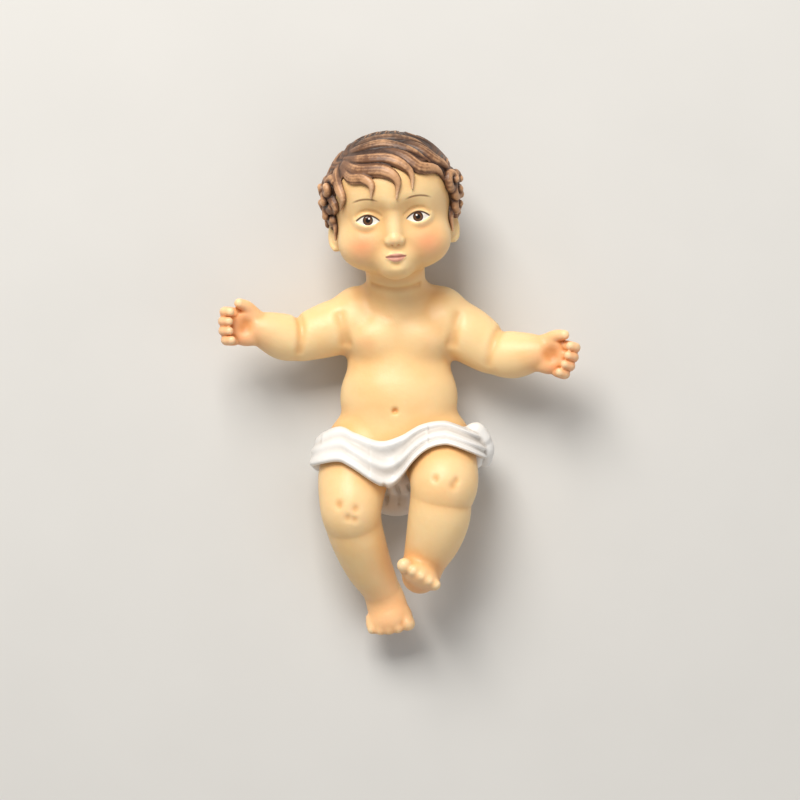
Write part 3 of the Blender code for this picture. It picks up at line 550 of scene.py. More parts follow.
def carve_arm(clay, side):
    """A plump arm, with a crease where the forearm starts."""
    clay.add(limb(ARMS[side], 12), 1.6)
    *elbow, thickness = ARMS[side][3]
    out_of_it = thickness + ELBOW_CREASE[side]
    _, thumb, palm = square(*HANDS[side])
    ring = []
    for turn in np.linspace(-2.2, 2.2, 12):
        out = thumb * math.cos(turn) + palm * side * math.sin(turn)
        ring.append((*(elbow + out * out_of_it), 0.5))
    clay.carve(limb(ring, 2), 1.1)


def carve_armpit(clay, side):
    """The crease between the arm and the chest."""
    path = ((11.8, 7.0), (11.1, 4.0), (10.6, 1.2))
    rows = [(*on_top(clay, side * x, y, 0.35), 0.45) for x, y in path]
    clay.carve(limb(rows), 1.7)


def carve_hand(clay, side):
    """A small open hand: palm with its two pads, four curled fingers and the thumb."""
    fingers, thumb, palm = square(*HANDS[side])
    hand = Place(ARMS[side][-1][:3], np.column_stack((fingers, thumb, palm * side)))
    clay.add_balls(hand, PALM)
    clay.carve(hand.ball((3.6, 0.2, 3.3), (1.9, 2.0, 1.9)), 1.0)
    for row, shorter in ((2.85, 0.2), (0.98, 0.0), (-0.9, 0.15), (-2.7, 0.7)):
        finger = [
            (4.9, row * 0.96, 0.2, 1.15), (7.0 - shorter, row, 0.9, 1.1),
            (7.7 - shorter, row, 2.3, 1.02), (6.9 - shorter, row, 3.6, 0.85),
        ]
        clay.add(hand.limb(finger, 3), 0.15)
    clay.add(hand.limb([(0.8, 2.3, 0.6, 1.5), (2.8, 4.0, 1.4, 1.25), (4.6, 4.7, 2.0, 1.0)], 3), 0.5)


# Each leg from hip to ankle, as (x, y, z, radius)
LEGS = {
    RIGHT: [
        (-7.2, -19.5, 7.6, 7.4), (-9.0, -25.0, 12.0, 7.0), (-9.5, -31.0, 15.4, 6.1),
        (-9.0, -34.4, 14.2, 5.6), (-8.0, -38.0, 12.6, 5.3), (-6.2, -42.8, 9.8, 4.7),
        (-4.4, -46.2, 7.8, 4.0), (-3.1, -48.8, 6.4, 3.6),
    ],
    LEFT: [
        (7.2, -19.0, 7.6, 7.4), (8.4, -22.4, 13.0, 7.0), (8.9, -26.2, 18.2, 6.7),
        (8.3, -29.4, 18.2, 6.1), (7.9, -33.0, 17.8, 6.1), (6.9, -37.0, 16.8, 5.5),
        (5.4, -41.0, 15.0, 4.4), (4.8, -43.6, 13.8, 3.7),
    ],
}
# The direction of each foot's toes and the direction of its big toe side
FEET = {
    RIGHT: ((0.24, -0.8, 0.42), (0.96, 0.28, 0.0)),
    LEFT: ((-0.06, 0.12, 0.97), (-0.85, 0.53, 0.0)),
}
SOLE = ((0, -1.2, -1.6, 3.5, 3.0, 3.3, 1.0), (0, 2.8, -1.1, 4.0, 4.8, 2.7, 1.5))
SOLE += ((-0.4, 5.0, -1.6, 4.6, 2.6, 2.0, 1.0),)
# Each toe from the big one, as (aside, length, radius)
TOES = ((3.0, 7.9, 1.55), (0.85, 8.2, 1.15), (-1.0, 8.0, 1.1), (-2.7, 7.6, 1.05), (-4.2, 6.9, 1.0))


def carve_leg(clay, side):
    """A bent leg, with dimples over the kneecap."""
    clay.add(limb(LEGS[side], 12), 1.5)
    knee = LEGS[side][2]
    for aside, up, size in DIMPLES[side]:
        spot = on_top(clay, knee[0] + aside, knee[1] + up, 0.7 * size)
        clay.carve(ball(spot, (size, 1.25 * size, size)), 1.0)


def carve_foot(clay, side):
    """A chubby foot: heel, instep, ball and five toes."""
    toes, inner, up = square(*FEET[side])
    foot = Place(LEGS[side][-1][:3], np.column_stack((inner, toes, up * -side)))
    clay.add_balls(foot, SOLE)
    for aside, length, radius in TOES:
        root = (aside * 0.95, length - 3.2, -1.3, radius * 0.85)
        tip = (aside, length - 0.8, -1.5, radius * 0.93)
        clay.add(foot.limb([root, tip], 1), 0.55)


# Loincloth: its two hems as (x, y), seen from the front

UPPER_HEM = ((-19, -18.5), (-12.4, -15.3), (-8.6, -16.5), (-3.8, -18.1), (0.2, -17.1), (4.2, -14.9))
UPPER_HEM += ((8.2, -14.1), (11.2, -14.7), (19, -18.0))
LOWER_HEM = ((-19, -23.6), (-12.7, -22.2), (-9.8, -23.1), (-4.8, -26.4), (-2.0, -27.4))
LOWER_HEM += ((0.2, -25.8), (2.6, -22.4), (5.2, -20.0), (8.2, -18.9), (11.2, -19.3), (19, -22.5))
CLOTH_THICKNESS = 0.7
# Each fold along the cloth, as (share of the way down at the right hip, at the middle, height)
FOLDS = ((0.12, 0.1, 0.75), (0.44, 0.54, 0.75), (0.86, 0.9, 0.75))
FOLD_WIDTH = 0.13


def hem_level(hem, x):
    """How high a hem runs at x."""
    smooth = curve_through(hem, 24)
    return np.interp(x, smooth[:, 0], smooth[:, 1])


def carve_loincloth(clay, body):
    """A cloth round the hips, with folds that run down to the middle and up to the knot."""
    form = Clay(body.step, body.block)
    form.add(ball((0.1, -19.5, 8.6), (14.0, 9.0, 8.0)))
    for side in SIDES:
        form.add(limb(LEGS[side][:2]), 4.0)
        form.add(ball((side * 6.2, -22.2, 6.6), (7.6, 6.8, 6.3)), 3.0)
    form.add(ball((0, -24.5, 9.5), (5.0, 5.0, 5.5)), 4.0)
    form.add(ball((-12.4, -22.0, 8.5), (3.6, 3.4, 5.5)), 3.0)
    form.value = softened(form.value, body.value, 2.5)
    x, y, z = form.points
    behind = np.clip((9.0 - z) / 6.0, 0, 1)
    upper = hem_level(UPPER_HEM, x) + 0 * z
    lower = hem_level(LOWER_HEM, x) * (1 - behind) - 25.5 * behind
    share = (upper - y) / (upper - lower)
    across = np.clip((x + 15) / 13, 0, 1)
    across = across**2 * (3 - 2 * across)
    thickness = CLOTH_THICKNESS + 0 * share
    for at_hip, at_middle, height in FOLDS:
        place = at_hip + (at_middle - at_hip) * across
        fade = 0.4 + 0.6 * np.clip((x + 17) / 7, 0, 1)
        thickness += height * fade * np.exp(-(((share - place) / FOLD_WIDTH) ** 2))
    thickness *= 0.55 + 0.45 * np.clip(z / 6, 0, 1)
    strip = np.maximum(y - upper, lower - y)
    wrapped = -softened(thickness - form.value, -strip, 0.7)
    clay.value = np.minimum(clay.value, wrapped.astype(np.float32))
    clay.add(ball((0.2, -24.8, 8.6), (7.0, 4.2, 6.2)), 1.5)
    clay.add(ball((-0.6, -28.4, 4.6), (6.4, 4.9, 3.5)), 1.5)
    for aside in (-2.7, -0.2, 2.3):
        path = [(aside + 0.4 * math.sin(y), y) for y in range(-27, -32, -2)]
        clay.carve(limb([(*on_top(clay, x, y, 0.2), 0.45) for x, y in path]), 0.5)
    carve_knot(clay)


def carve_knot(clay):
    """The knot at the left hip, with its loop and its hanging end."""
    clay.add(ball((14.4, -18.4, 10.6), (2.8, 3.2, 3.4)), 0.8)
    for end in (
        [(13.6, -16.8, 12.3, 1.5), (15.4, -15.9, 12.6, 1.5), (16.8, -17.6, 12.0, 1.5)],
        [(16.4, -17.4, 11.6, 1.5), (17.4, -19.6, 10.8, 1.6), (17.0, -22.0, 9.4, 1.5)],
        [(14.4, -18.4, 13.2, 1.3), (15.4, -20.6, 12.6, 1.3), (15.2, -22.4, 11.0, 1.3)],
    ):
        clay.add(limb(end), 0.4)


# Casting: the clay's surface becomes a mesh

CORNERS = list(np.ndindex(2, 2, 2))  # of a grid cell


def corners_to_fill():
    """The corners to fill at a pinch, for each of the 256 ways that a cell's corners lie inside.

    A pinch is where clay would touch itself only along an edge or at a corner.
    """
    table = np.zeros((256, 8), bool)
    for code in range(256):
        inside = np.array([code >> k & 1 for k in range(8)], bool).reshape(2, 2, 2)
        filled = inside.copy()
        for axis in range(3):
            for side in range(2):
                face, spread = (np.moveaxis(each, axis, 0)[side] for each in (inside, filled))
                if face[0, 0] == face[1, 1] != face[0, 1] == face[1, 0]:
                    spread[:] = True
        for few in (inside, ~inside):
            opposite = any(few[c] and few[tuple(1 - i for i in c)] for c in CORNERS)
            if few.sum() == 2 and opposite:
                filled[:] = True
        table[code] = (filled & ~inside).ravel()
    return table


def crossed_cells(value):
    """The grid cells that the surface passes through, once each pinch is filled."""
    table = corners_to_fill()
    while True:
        inside = value < 0
        code = np.zeros([n - 1 for n in inside.shape], np.uint8)
        for k, offset in enumerate(CORNERS):
            corner = tuple(slice(o, o + n) for o, n in zip(offset, code.shape))
            code |= inside[corner] * np.uint8(1 << k)
        cells = np.argwhere((code > 0) & (code < 255))
        fill = table[code[tuple(cells.T)]]
        if not fill.any():
            return cells
        for k, offset in enumerate(CORNERS):
            value[tuple((cells[fill[:, k]] + offset).T)] = -PINCH_FILL


def surface_points(value, cells):
    """A point in each cell, at the mean of where the surface crosses its edges."""
    total = np.zeros((len(cells), 3))
    crossings = np.zeros(len(cells))
    for axis in range(3):
        first, second = (i for i in range(3) if i != axis)
        for a, b in np.ndindex(2, 2):
            start = cells.copy()
            start[:, first] += a
            start[:, second] += b
            end = start.copy()
            end[:, axis] += 1
            here, there = value[tuple(start.T)], value[tuple(end.T)]
            crossed = (here < 0) != (there < 0)
            share = here[crossed] / (here[crossed] - there[crossed])
            total[crossed] += start[crossed]
            total[crossed, axis] += share
            crossings += crossed
    return total / crossings[:, None]


def surface_quads(inside, cells):
    """A face round each grid edge that the surface crosses, turned outwards."""
    number = np.full([n - 1 for n in inside.shape], -1, np.int64)
    number[tuple(cells.T)] = np.arange(len(cells))
    quads = []
    for axis in range(3):
        first, second = (axis + 1) % 3, (axis + 2) % 3
        before = np.moveaxis(inside, axis, 0)
        edges = np.argwhere(np.moveaxis(before[:-1] != before[1:], 0, axis))
        ring = []
        for a, b in ((0, 0), (1, 0), (1, 1), (0, 1)):
            cell = edges.copy()
            cell[:, first] -= a
            cell[:, second] -= b
            ring.append(number[tuple(cell.T)])
        ring = np.stack(ring, axis=1)
        outward = inside[tuple(edges.T)]
        quads.append(np.where(outward[:, None], ring, ring[:, ::-1]))
    return np.concatenate(quads)


def largest_shell(points, quads):
    """The points and quads of the largest closed surface, without pockets inside the clay."""
    label = np.arange(len(points))
    while True:
        lowest = label.copy()
        np.minimum.at(lowest, quads, label[quads].min(axis=1)[:, None])
        lowest = lowest[lowest]
        if (lowest == label).all():
            break
        label = lowest
    kept = label == np.bincount(label).argmax()
    number = np.cumsum(kept) - 1
    return points[kept], number[quads[kept[quads[:, 0]]]]


def cast(clay):
    """The clay's surface as points and quads, closed at the edge of the block."""
    value = np.pad(clay.value[1:-1, 1:-1, 1:-1], 1, constant_values=FAR)
    cells = crossed_cells(value)
    points = surface_points(value, cells) * clay.step + np.array(clay.block[0])
    return largest_shell(points, surface_quads(value < 0, cells))


def head_and_hair(step):
    """The head with its face and ears, and its hair."""
    head, skull, hair = (Clay(step, HEAD_BLOCK) for _ in range(3))
    carve_skull(head)
    skull.value = head.value.copy()
    carve_face(head)
    carve_ears(head)
    carve_hair(hair, skull)
    return head, hair


def sculpt(step):
    """The whole figure in clay: flesh, hair and cloth."""
    flesh = Clay(step)
    carve_torso(flesh)
    carve_neck(flesh)
    for side in SIDES:
        carve_arm(flesh, side)
        carve_armpit(flesh, side)
        carve_hand(flesh, side)
        carve_leg(flesh, side)
        carve_foot(flesh, side)
    head, hair = head_and_hair(step)
    flesh.merge(head, NECK_BLEND)
    cloth = Clay(step)
    carve_loincloth(cloth, flesh)
    return flesh, hair, cloth


def joined(flesh, hair, cloth):
    """One clay of the three, with the small fillets that a casting has between them."""
    whole = Clay(flesh.step, flesh.block)
    whole.value = softened(flesh.value, cloth.value, FILLET)
    whole.merge(hair, FILLET)
    return whole


# Pieces

SETTLING_ROUNDS = 2
RELIEF = (("ridge", 0.5), ("swell", 1.8))  # attributes, with the radius that each is blurred by


def blurred(clay, radius):
    """The clay with its distances evened out by three box filters along each axis."""
    reach = max(1, round(radius / clay.step / 2))
    value = clay.value
    for axis in range(3):
        for _ in range(3):
            edge = [(0, 0)] * 3
            edge[axis] = (reach + 1, reach)
            total = np.cumsum(np.pad(value, edge, mode="edge"), axis=axis, dtype=np.float64)
            total = np.moveaxis(total, axis, 0)
            width = 2 * reach + 1
            value = np.moveaxis((total[width:] - total[:-width]) / width, 0, axis)
            value = value.astype(np.float32)
    average = Clay(clay.step, clay.block)
    average.value = value
    return average


def settled(points, quads, clay, rounds):
    """The points evened out among their neighbours and drawn back to the surface."""
    edges = np.concatenate([quads[:, [i, (i + 1) % 4]] for i in range(4)])
    edges = np.concatenate([edges, edges[:, ::-1]])
    count = np.bincount(edges[:, 0], minlength=len(points))[:, None]
    for _ in range(rounds):
        mean = np.zeros_like(points)
        for axis in range(3):
            mean[:, axis] = np.bincount(edges[:, 0], points[edges[:, 1], axis], len(points))
        points = 0.5 * points + 0.5 * mean / count
        slope = np.stack(
            [clay.at(points + way) - clay.at(points - way) for way in np.eye(3) * clay.step], axis=1
        )
        slope /= np.maximum(np.linalg.norm(slope, axis=1), 1e-6)[:, None]
        points -= slope * np.clip(clay.at(points), -0.2, 0.2)[:, None] * 0.7
    return points


def flatten_back(mesh):
    """Cuts the solid level at Z 0 and closes the cut."""
    solid = bmesh.new()
    solid.from_mesh(mesh)
    everything = solid.verts[:] + solid.edges[:] + solid.faces[:]
    cut = bmesh.ops.bisect_plane(
        solid, geom=everything, plane_co=(0, 0, 0), plane_no=(0, 0, -1), clear_outer=True
    )
    rim = [item for item in cut["geom_cut"] if isinstance(item, bmesh.types.BMEdge)]
    bmesh.ops.holes_fill(solid, edges=rim)
    solid.to_mesh(mesh)
    solid.free()


def cast_piece(name, clay):
    """A mesh object from the clay, thinned where it is smooth, flat at Z 0."""
    points, quads = cast(clay)
    points = settled(points, quads, clay, SETTLING_ROUNDS)
    mesh = bpy.data.meshes.new(name)
    mesh.from_pydata((points * UNIT).tolist(), [], quads.tolist())
    piece = bpy.data.objects.new(name, mesh)
    bpy.context.scene.collection.objects.link(piece)
    thinner = piece.modifiers.new("thinner", "DECIMATE")
    thinner.ratio = min(1, MOST_TRIANGLES / (2 * len(quads)))
    thinner.use_collapse_triangulate = True
    graph = bpy.context.evaluated_depsgraph_get()
    thin = bpy.data.meshes.new_from_object(piece.evaluated_get(graph))
    piece.modifiers.clear()
    piece.data = thin
    flatten_back(thin)
    thin.shade_smooth()
    return piece


def places_of(piece):
    """The piece's vertices in the figure's unit."""
    places = np.empty(len(piece.data.vertices) * 3)
    piece.data.vertices.foreach_get("co", places)
    return places.reshape(-1, 3) / UNIT


def store(piece, name, values):
    """Stores a number or a vector for each vertex, for the paint to read."""
    kind = "FLOAT" if values.ndim == 1 else "FLOAT_VECTOR"
    layer = piece.data.attributes.new(name, kind, "POINT")
    field = "value" if kind == "FLOAT" else "vector"
    layer.data.foreach_set(field, values.astype(np.float32).ravel())


# Where the skin has a rosy wash, as (x, y, z, radius, strength)
ROSY = (
    (-9.5, -31.5, 21.5, 5.0, 0.2),
    (9.5, -27.0, 25.0, 5.0, 0.2),
    (-2.0, -53.0, 7.0, 6.0, 0.75),
    (3.5, -46.0, 17.0, 6.0, 0.75),
    (-33.0, 4.3, 15.0, 6.4, 1.1),
    (33.0, -2.5, 15.0, 6.4, 1.1),
    (-6.6, 1.4, 15.6, 2.4, 0.4),
    (6.2, 2.4, 15.6, 2.6, 0.25),
)


def rosy_at(places):
    """How rosy the skin is at each of the places."""
    total = np.zeros(len(places))
    for x, y, z, radius, strength in ROSY:
        total += strength * np.exp(-((places - (x, y, z)) ** 2).sum(axis=1) / radius**2)
    return np.minimum(total, 1)


def store_relief(piece, whole):
    """Stores how far each vertex stands on a ridge or lies in a groove."""
    places = places_of(piece)
    here = whole.at(places)
    for name, radius in RELIEF:
        store(piece, name, blurred(whole, radius).at(places) - here)


def carved_head(step):
    """The head on its neck, and its hair."""
    body = Clay(step, HEAD_BLOCK)
    carve_torso(body)
    carve_neck(body)
    for side in SIDES:
        carve_arm(body, side)
    head, hair = head_and_hair(step)
    head.value = softened(body.value, head.value, NECK_BLEND)
    return head, hair


def carved_hips(step):
    """The hips with the legs, and the loincloth."""
    body, cloth = Clay(step, HIPS_BLOCK), Clay(step, HIPS_BLOCK)
    carve_torso(body)
    for side in SIDES:
        carve_leg(body, side)
    carve_loincloth(cloth, body)
    return body, cloth


def clay_of(like, value):
    """Another block of clay on the same grid."""
    clay = Clay(like.step, like.block)
    clay.value = value.astype(np.float32)
    return clay


def add_piece(name, clay, whole, material):
    """A cast and painted piece that stands for part of the solid."""
    piece = cast_piece(name, clay)
    store_relief(piece, whole)
    piece.data.materials.clear()
    piece.data.materials.append(material)
    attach(piece, "root")
    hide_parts("infant_figure")
    return piece


def make_figure():
    """The four pieces, which stand for the solid and keep its form."""
    flesh, hair, cloth = sculpt(BODY_STEP / UNIT)
    whole = joined(flesh, hair, cloth)
    body = clay_of(flesh, np.maximum(flesh.value, flesh.points[1] - (NECK_CUT + OVERLAP)))
    piece = add_piece("painted_body", body, whole, skin_paint())
    store(piece, "rosy", rosy_at(places_of(piece)))

    flesh, hair = carved_head(HEAD_STEP / UNIT)
    whole = clay_of(flesh, softened(flesh.value, hair.value, FILLET))
    head = clay_of(flesh, np.maximum(flesh.value, (NECK_CUT - OVERLAP) - flesh.points[1]))
    piece = add_piece("painted_head", head, whole, face_paint())
    store(piece, "face", np.stack(HEAD.local(places_of(piece).T), axis=1))
    add_piece("painted_hair", hair, whole, hair_paint())

    flesh, cloth = carved_hips(CLOTH_STEP / UNIT)
    whole = clay_of(flesh, softened(flesh.value, cloth.value, FILLET))
    add_piece("painted_loincloth", cloth, whole, cloth_paint())


# Paint

# Skin
CREAM, WARM_CREAM, PALE_CREAM = (0.95, 0.70, 0.37, 1), (0.93, 0.63, 0.30, 1), (0.98, 0.82, 0.53, 1)
# The last two are painted shade: warm for the hollows, orange-brown for the creases
PEACH, SKIN_HOLLOW_SHADE, SKIN_CREASE_SHADE = (0.93, 0.40, 0.19, 1), (0.80, 0.40, 0.12, 1), (0.58, 0.19, 0.035, 1)
# Face
EYE_WHITE, LASHES, BROW = (0.86, 0.80, 0.72, 1), (0.07, 0.028, 0.012, 1), (0.20, 0.085, 0.03, 1)
BROW_HEIGHT = 4.3  # over the level of the eye
# The iris, its paler middle, the pupil and the glint, as (aside, up, radius, colour)
DISCS = ((0, 0.16, 1.0, (0.035, 0.014, 0.008, 1)), (0, 0.10, 0.78, (0.13, 0.055, 0.022, 1)))
DISCS += ((0, 0.16, 0.46, (0.008, 0.006, 0.005, 1)), (-0.26, 0.5, 0.17, (0.95, 0.95, 0.95, 1)))
ROSE, LIP_LINE = (0.55, 0.20, 0.17, 1), (0.20, 0.045, 0.03, 1)
LIPS_HALF_WIDTH, UPPER_LIP, LOWER_LIP = 2.15, 0.72, 1.2
# The blush on the cheeks and on the nose, as (aside, up, radius)
CHEEK, NOSE_TIP = (6.4, -6.9, 5.0), (0, NOSE_LEVEL, 2.2)
# Hair
DARK_BROWN, BROWN = (0.17, 0.075, 0.036, 1), (0.27, 0.13, 0.065, 1)
# Painted shade for the grooves between the locks
HAIR_GROOVE_SHADE = (0.035, 0.013, 0.007, 1)
# The last of these is painted shade for the hair over the crown
TAN, PALE_TAN, CROWN_SHADE = (0.66, 0.36, 0.18, 1), (0.85, 0.58, 0.36, 1), (0.030, 0.018, 0.014, 1)
DARK_CROWN = (0.0255, 0.0295)  # between which Y, in metres, painted shade darkens the hair towards the crown
# Cloth
WHITE, DULL_WHITE = (0.89, 0.87, 0.85, 1), (0.84, 0.82, 0.79, 1)
# Painted grey shade for the valleys and for the creases of the folds
CLOTH_VALLEY_SHADE, CLOTH_CREASE_SHADE = (0.64, 0.58, 0.52, 1), (0.50, 0.43, 0.36, 1)


class Field:
    """A number or colour that varies over the surface: a node's output, with plain arithmetic."""

    def __init__(self, paint, socket):
        self.paint, self.socket = paint, socket

    def __add__(self, other):
        return self.paint.math("ADD", self, other)

    def __sub__(self, other):
        return self.paint.math("SUBTRACT", self, other)

    def __rsub__(self, other):
        return self.paint.math("SUBTRACT", other, self)

    def __mul__(self, other):
        return self.paint.math("MULTIPLY", self, other)

    def __abs__(self):
        return self.paint.math("ABSOLUTE", self)

    def share(self, low, high):
        """0 where the number is low, 1 where it is high, and smooth between."""
        inputs = {"Value": self, "From Min": low, "From Max": high}
        return self.paint.node("ShaderNodeMapRange", inputs, interpolation_type="SMOOTHSTEP")


class Paint:
    """A material whose nodes are added by short calls."""

    def __init__(self, name):
        self.material = bpy.data.materials.new(name)
        self.material.use_nodes = True
        self.tree = self.material.node_tree
        self.shader = self.tree.nodes["Principled BSDF"]

    def plug(self, socket, value):
        """Links a field to the socket, or sets the socket to a plain value."""
        if isinstance(value, Field):
            self.tree.links.new(value.socket, socket)
        else:
            socket.default_value = value

    def node(self, kind, inputs, output=0, **settings):
        """One output of a new node, from the values of its inputs and its settings."""
        made = self.tree.nodes.new(kind)
        for name, value in settings.items():
            setattr(made, name, value)
        for key, value in inputs.items():
            self.plug(made.inputs[key], value)
        return Field(self, made.outputs[output])

    def math(self, operation, *numbers):
        return self.node("ShaderNodeMath", dict(enumerate(numbers)), operation=operation)

    def distance(self, a, b):
        """How far off a point lies that is a to the side and b up."""
        return self.math("SQRT", a * a + b * b)

    def attribute(self, name, output="Fac"):
        return self.node("ShaderNodeAttribute", {}, output, attribute_name=name)

    def relief(self):
        return [self.attribute(name) for name, _ in RELIEF]

    def place(self):
        return self.node("ShaderNodeTexCoord", {}, "Object")

    def axis(self, place, number):
        return self.node("ShaderNodeSeparateXYZ", {0: place}, number)

    def mix(self, share, first, second):
        """The first colour where the share is 0, the second where it is 1."""
        return self.node("ShaderNodeMix", {0: share, 6: first, 7: second}, 2, data_type="RGBA")

    def noise(self, size, detail=3, rough=0.55):
        """Noise with features of about the given size in metres."""
        inputs = {"Vector": self.place(), "Scale": 1 / size, "Detail": detail, "Roughness": rough}
        return self.node("ShaderNodeTexNoise", inputs)

    def bump(self, height, distance, strength, **normal):
        inputs = {"Height": height, "Distance": distance, "Strength": strength, **normal}
        return self.node("ShaderNodeBump", inputs)

    def finish(self, colour, roughness, normal):
        self.plug(self.shader.inputs["Base Color"], colour)
        self.plug(self.shader.inputs["Roughness"], roughness)
        self.plug(self.shader.inputs["Normal"], normal)
        return self.material


def skin_colour(paint, rosy):
    """Warm cream, paler on the ridges, with a peach blush in rosy places, painted warm shade in the
    hollows and painted orange-brown shade in the creases, strongest in rosy places.
    """
    ridge, swell = paint.relief()
    fine = paint.noise(0.0009, 4, 0.6)
    colour = paint.mix(paint.noise(0.006).share(0.35, 0.7), CREAM, WARM_CREAM)
    colour = paint.mix(rosy * 0.85, colour, PEACH)
    # Painted warm shade in the broad hollows
    colour = paint.mix(swell.share(0.26, -0.20) * 0.5, colour, SKIN_HOLLOW_SHADE)
    # Painted orange-brown shade in the creases, strongest in rosy places
    crease = (ridge + fine * 0.02).share(0.02, -0.09)
    colour = paint.mix(crease * (rosy * 0.75 + 0.10), colour, SKIN_CREASE_SHADE)
    return paint.mix(ridge.share(0.06, 0.16) * 0.4, colour, PALE_CREAM)


def skin_finish(paint):
    """A thin satin skin of paint over the resin, which lets a little light in."""
    paint.shader.inputs["Subsurface Weight"].default_value = 0.12
    paint.shader.inputs["Subsurface Radius"].default_value = (1.0, 0.45, 0.2)
    paint.shader.inputs["Subsurface Scale"].default_value = 0.001
    normal = paint.bump(paint.noise(0.0005), 0.00005, 0.4)
    normal = paint.bump(paint.noise(0.0022), 0.0002, 0.3, Normal=normal)
    return paint.noise(0.0009, 4, 0.6) * 0.16 + 0.36, normal


def skin_paint():
    """The skin of the body, with rosy hands, knees and feet."""
    paint = Paint("skin_paint")
    return paint.finish(skin_colour(paint, paint.attribute("rosy")), *skin_finish(paint))


def eye_strokes(paint, x, y, colour):
    """The white, the iris, the dark rim of the upper lid and the brow, on both sides alike."""
    out, level = abs(x) - EYE_ASIDE, y - EYE_LEVEL
    aside = out * (1 / EYE_HALF_WIDTH)
    up = level - aside * EYE_SLANT
    arch = 1 - aside * aside
    over, under = up - arch * UPPER_LID, arch * -LOWER_LID - up
    inside = paint.math("MAXIMUM", over, under).share(0.10, -0.06)
    colour = paint.mix(inside, colour, EYE_WHITE)
    for right, high, radius, tone in DISCS:
        away = paint.distance(out - right, level - high)
        colour = paint.mix(away.share(radius + 0.06, radius - 0.06) * inside, colour, tone)
    rim = arch.share(-0.12, 0.1) * abs(over).share(0.26, 0.12) * up.share(-0.2, 0.1)
    colour = paint.mix(rim * 0.92, colour, LASHES)
    along = out - 0.3
    from_brow = abs(level + along * along * 0.085 - BROW_HEIGHT)
    brow = from_brow.share(0.28, 0.08) * abs(along).share(2.9, 1.4)
    return paint.mix(brow * 0.8, colour, BROW), inside


def lip_strokes(paint, x, y, colour):
    """Soft rose lips with a darker line between them."""
    across, level = x * (1 / LIPS_HALF_WIDTH), y - MOUTH_LEVEL
    arch = paint.math("MAXIMUM", 1 - across * across, 0)
    over, under = level - arch * UPPER_LIP, arch * -LOWER_LIP - level
    lips = paint.math("MAXIMUM", over, under).share(0.05, -0.3)
    colour = paint.mix(lips * 0.8, colour, ROSE)
    from_line = abs(level - (x * x * 0.035 - 0.14))
    line = from_line.share(0.26, 0.06) * arch.share(0.0, 0.25)
    return paint.mix(line * 0.7, colour, LIP_LINE)


def spot(paint, x, y, right, high, radius):
    """1 at a place of the face and its mirror, fading to 0 round it."""
    return paint.distance(abs(x) - right, y - high).share(radius, 0)


def face_paint():
    """The skin of the head, with painted eyes, brows and lips and a blush on the cheeks."""
    paint = Paint("face_paint")
    place = paint.attribute("face", "Vector")
    x, y, z = (paint.axis(place, i) for i in range(3))
    front = z.share(5.0, 7.5)
    rosy = spot(paint, x, y, *CHEEK) * 1.1 + spot(paint, x, y, *NOSE_TIP) * 0.3
    plain = skin_colour(paint, rosy * front)
    colour, eyes = eye_strokes(paint, x, y, plain)
    colour = paint.mix(front, plain, lip_strokes(paint, x, y, colour))
    roughness, normal = skin_finish(paint)
    return paint.finish(colour, roughness - eyes * front * 0.3, normal)


def hair_paint():
    """Dark brown with painted shade in its grooves, broadly dry brushed with tan on its ridges, and
    painted shade darkest over the crown.
    """
    paint = Paint("hair_paint")
    ridge, swell = paint.relief()
    broad, fine = paint.noise(0.003), paint.noise(0.0005, 4, 0.65)
    colour = paint.mix(broad.share(0.35, 0.7), DARK_BROWN, BROWN)
    relief = ridge + swell * 0.25
    # Painted shade darkens the grooves
    colour = paint.mix(relief.share(0.07, -0.05) * 0.9, colour, HAIR_GROOVE_SHADE)
    worn = relief + (fine - 0.5) * 0.15 + (broad - 0.5) * 0.2
    colour = paint.mix(worn.share(0.08, 0.19) * 0.85, colour, TAN)
    colour = paint.mix(worn.share(0.18, 0.28) * 0.6, colour, PALE_TAN)
    # Painted shade: the hair darkens towards the crown, most away from its ridges
    crown = paint.axis(paint.place(), 1).share(*DARK_CROWN) * worn.share(0.3, 0.0)
    colour = paint.mix(crown * 0.8, colour, CROWN_SHADE)
    return paint.finish(colour, fine * 0.2 + 0.34, paint.bump(fine, 0.00008, 0.5))


def cloth_paint():
    """White with painted grey shade in the valleys and the creases of the folds."""
    paint = Paint("cloth_paint")
    ridge, swell = paint.relief()
    fine = paint.noise(0.0006, 4, 0.6)
    colour = paint.mix(paint.noise(0.004).share(0.35, 0.7), WHITE, DULL_WHITE)
    # Painted grey shade in the valleys and the creases of the folds
    colour = paint.mix(swell.share(0.15, -0.25) * 0.45, colour, CLOTH_VALLEY_SHADE)
    crease = (ridge + fine * 0.02).share(0.0, -0.08)
    colour = paint.mix(crease * 0.45, colour, CLOTH_CREASE_SHADE)
    return paint.finish(colour, fine * 0.2 + 0.28, paint.bump(paint.noise(0.0006), 0.00006, 0.4))


# Studio

FLOOR_LEVEL, FLOOR_REACH = -0.0001, 3
PALE_GREY, DULL_GREY = (0.68, 0.67, 0.65, 1), (0.64, 0.63, 0.61, 1)
LIT_PLACE = (0, -0.005, 0.008)  # what the lamps point at
CAMERA_PLACE = (0.00014, -0.0070, 0.507)
CAMERA_DISTANCE = 0.5  # from the camera to the middle of the figure's height
PICTURE_WIDTH = 0.1116  # how much of that level the picture shows
SENSOR_WIDTH = 36


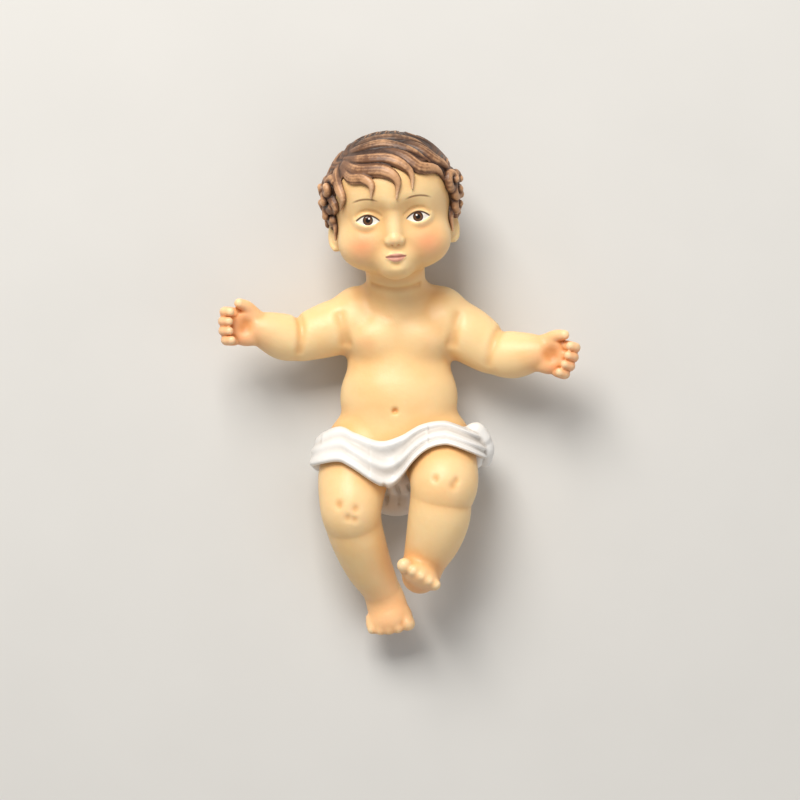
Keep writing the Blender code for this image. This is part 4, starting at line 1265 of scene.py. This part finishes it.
def make_floor():
    """A pale floor just under the figure."""
    mesh = bpy.data.meshes.new("floor")
    signs = ((-1, -1), (1, -1), (1, 1), (-1, 1))
    corners = [(FLOOR_REACH * x, FLOOR_REACH * y, FLOOR_LEVEL) for x, y in signs]
    mesh.from_pydata(corners, [], [(0, 1, 2, 3)])
    floor = bpy.data.objects.new("floor", mesh)
    bpy.context.scene.collection.objects.link(floor)
    paint = Paint("floor")
    colour = paint.mix(paint.noise(0.02), PALE_GREY, DULL_GREY)
    paint.plug(paint.shader.inputs["Base Color"], colour)
    paint.shader.inputs["Roughness"].default_value = 0.7
    mesh.materials.append(paint.material)
    return floor


def add_light(name, place, size, power, colour):
    """A square lamp that points at the figure."""
    light = bpy.data.lights.new(name, "AREA")
    light.size, light.energy, light.color = size, power, colour
    lamp = bpy.data.objects.new(name, light)
    lamp.location = place
    aim = np.array(LIT_PLACE) - place
    lamp.rotation_euler = Vector(aim).to_track_quat("-Z", "Y").to_euler()
    bpy.context.scene.collection.objects.link(lamp)


def light_studio():
    """Soft light from a window over the crown, with a weak fill and a plain pale world."""
    add_light("window", (-0.12, 0.36, 0.42), 0.30, 3.6, (1.0, 0.97, 0.92))
    add_light("fill", (0.34, -0.20, 0.40), 0.5, 0.45, (0.98, 0.99, 1.0))
    world = bpy.data.worlds.new("studio")
    world.use_nodes = True
    background = world.node_tree.nodes["Background"]
    background.inputs["Color"].default_value = (1.0, 0.985, 0.96, 1)
    background.inputs["Strength"].default_value = 0.33
    bpy.context.scene.world = world
    bpy.context.scene.view_settings.view_transform = "Standard"


def place_camera():
    """Straight above the figure, with the whole of it in the frame."""
    lens = bpy.data.cameras.new("camera")
    lens.sensor_width = SENSOR_WIDTH
    lens.lens = SENSOR_WIDTH * CAMERA_DISTANCE / PICTURE_WIDTH
    camera = bpy.data.objects.new("camera", lens)
    camera.location = CAMERA_PLACE
    bpy.context.scene.collection.objects.link(camera)
    bpy.context.scene.camera = camera


make_figure()
make_floor()
light_studio()
place_camera()
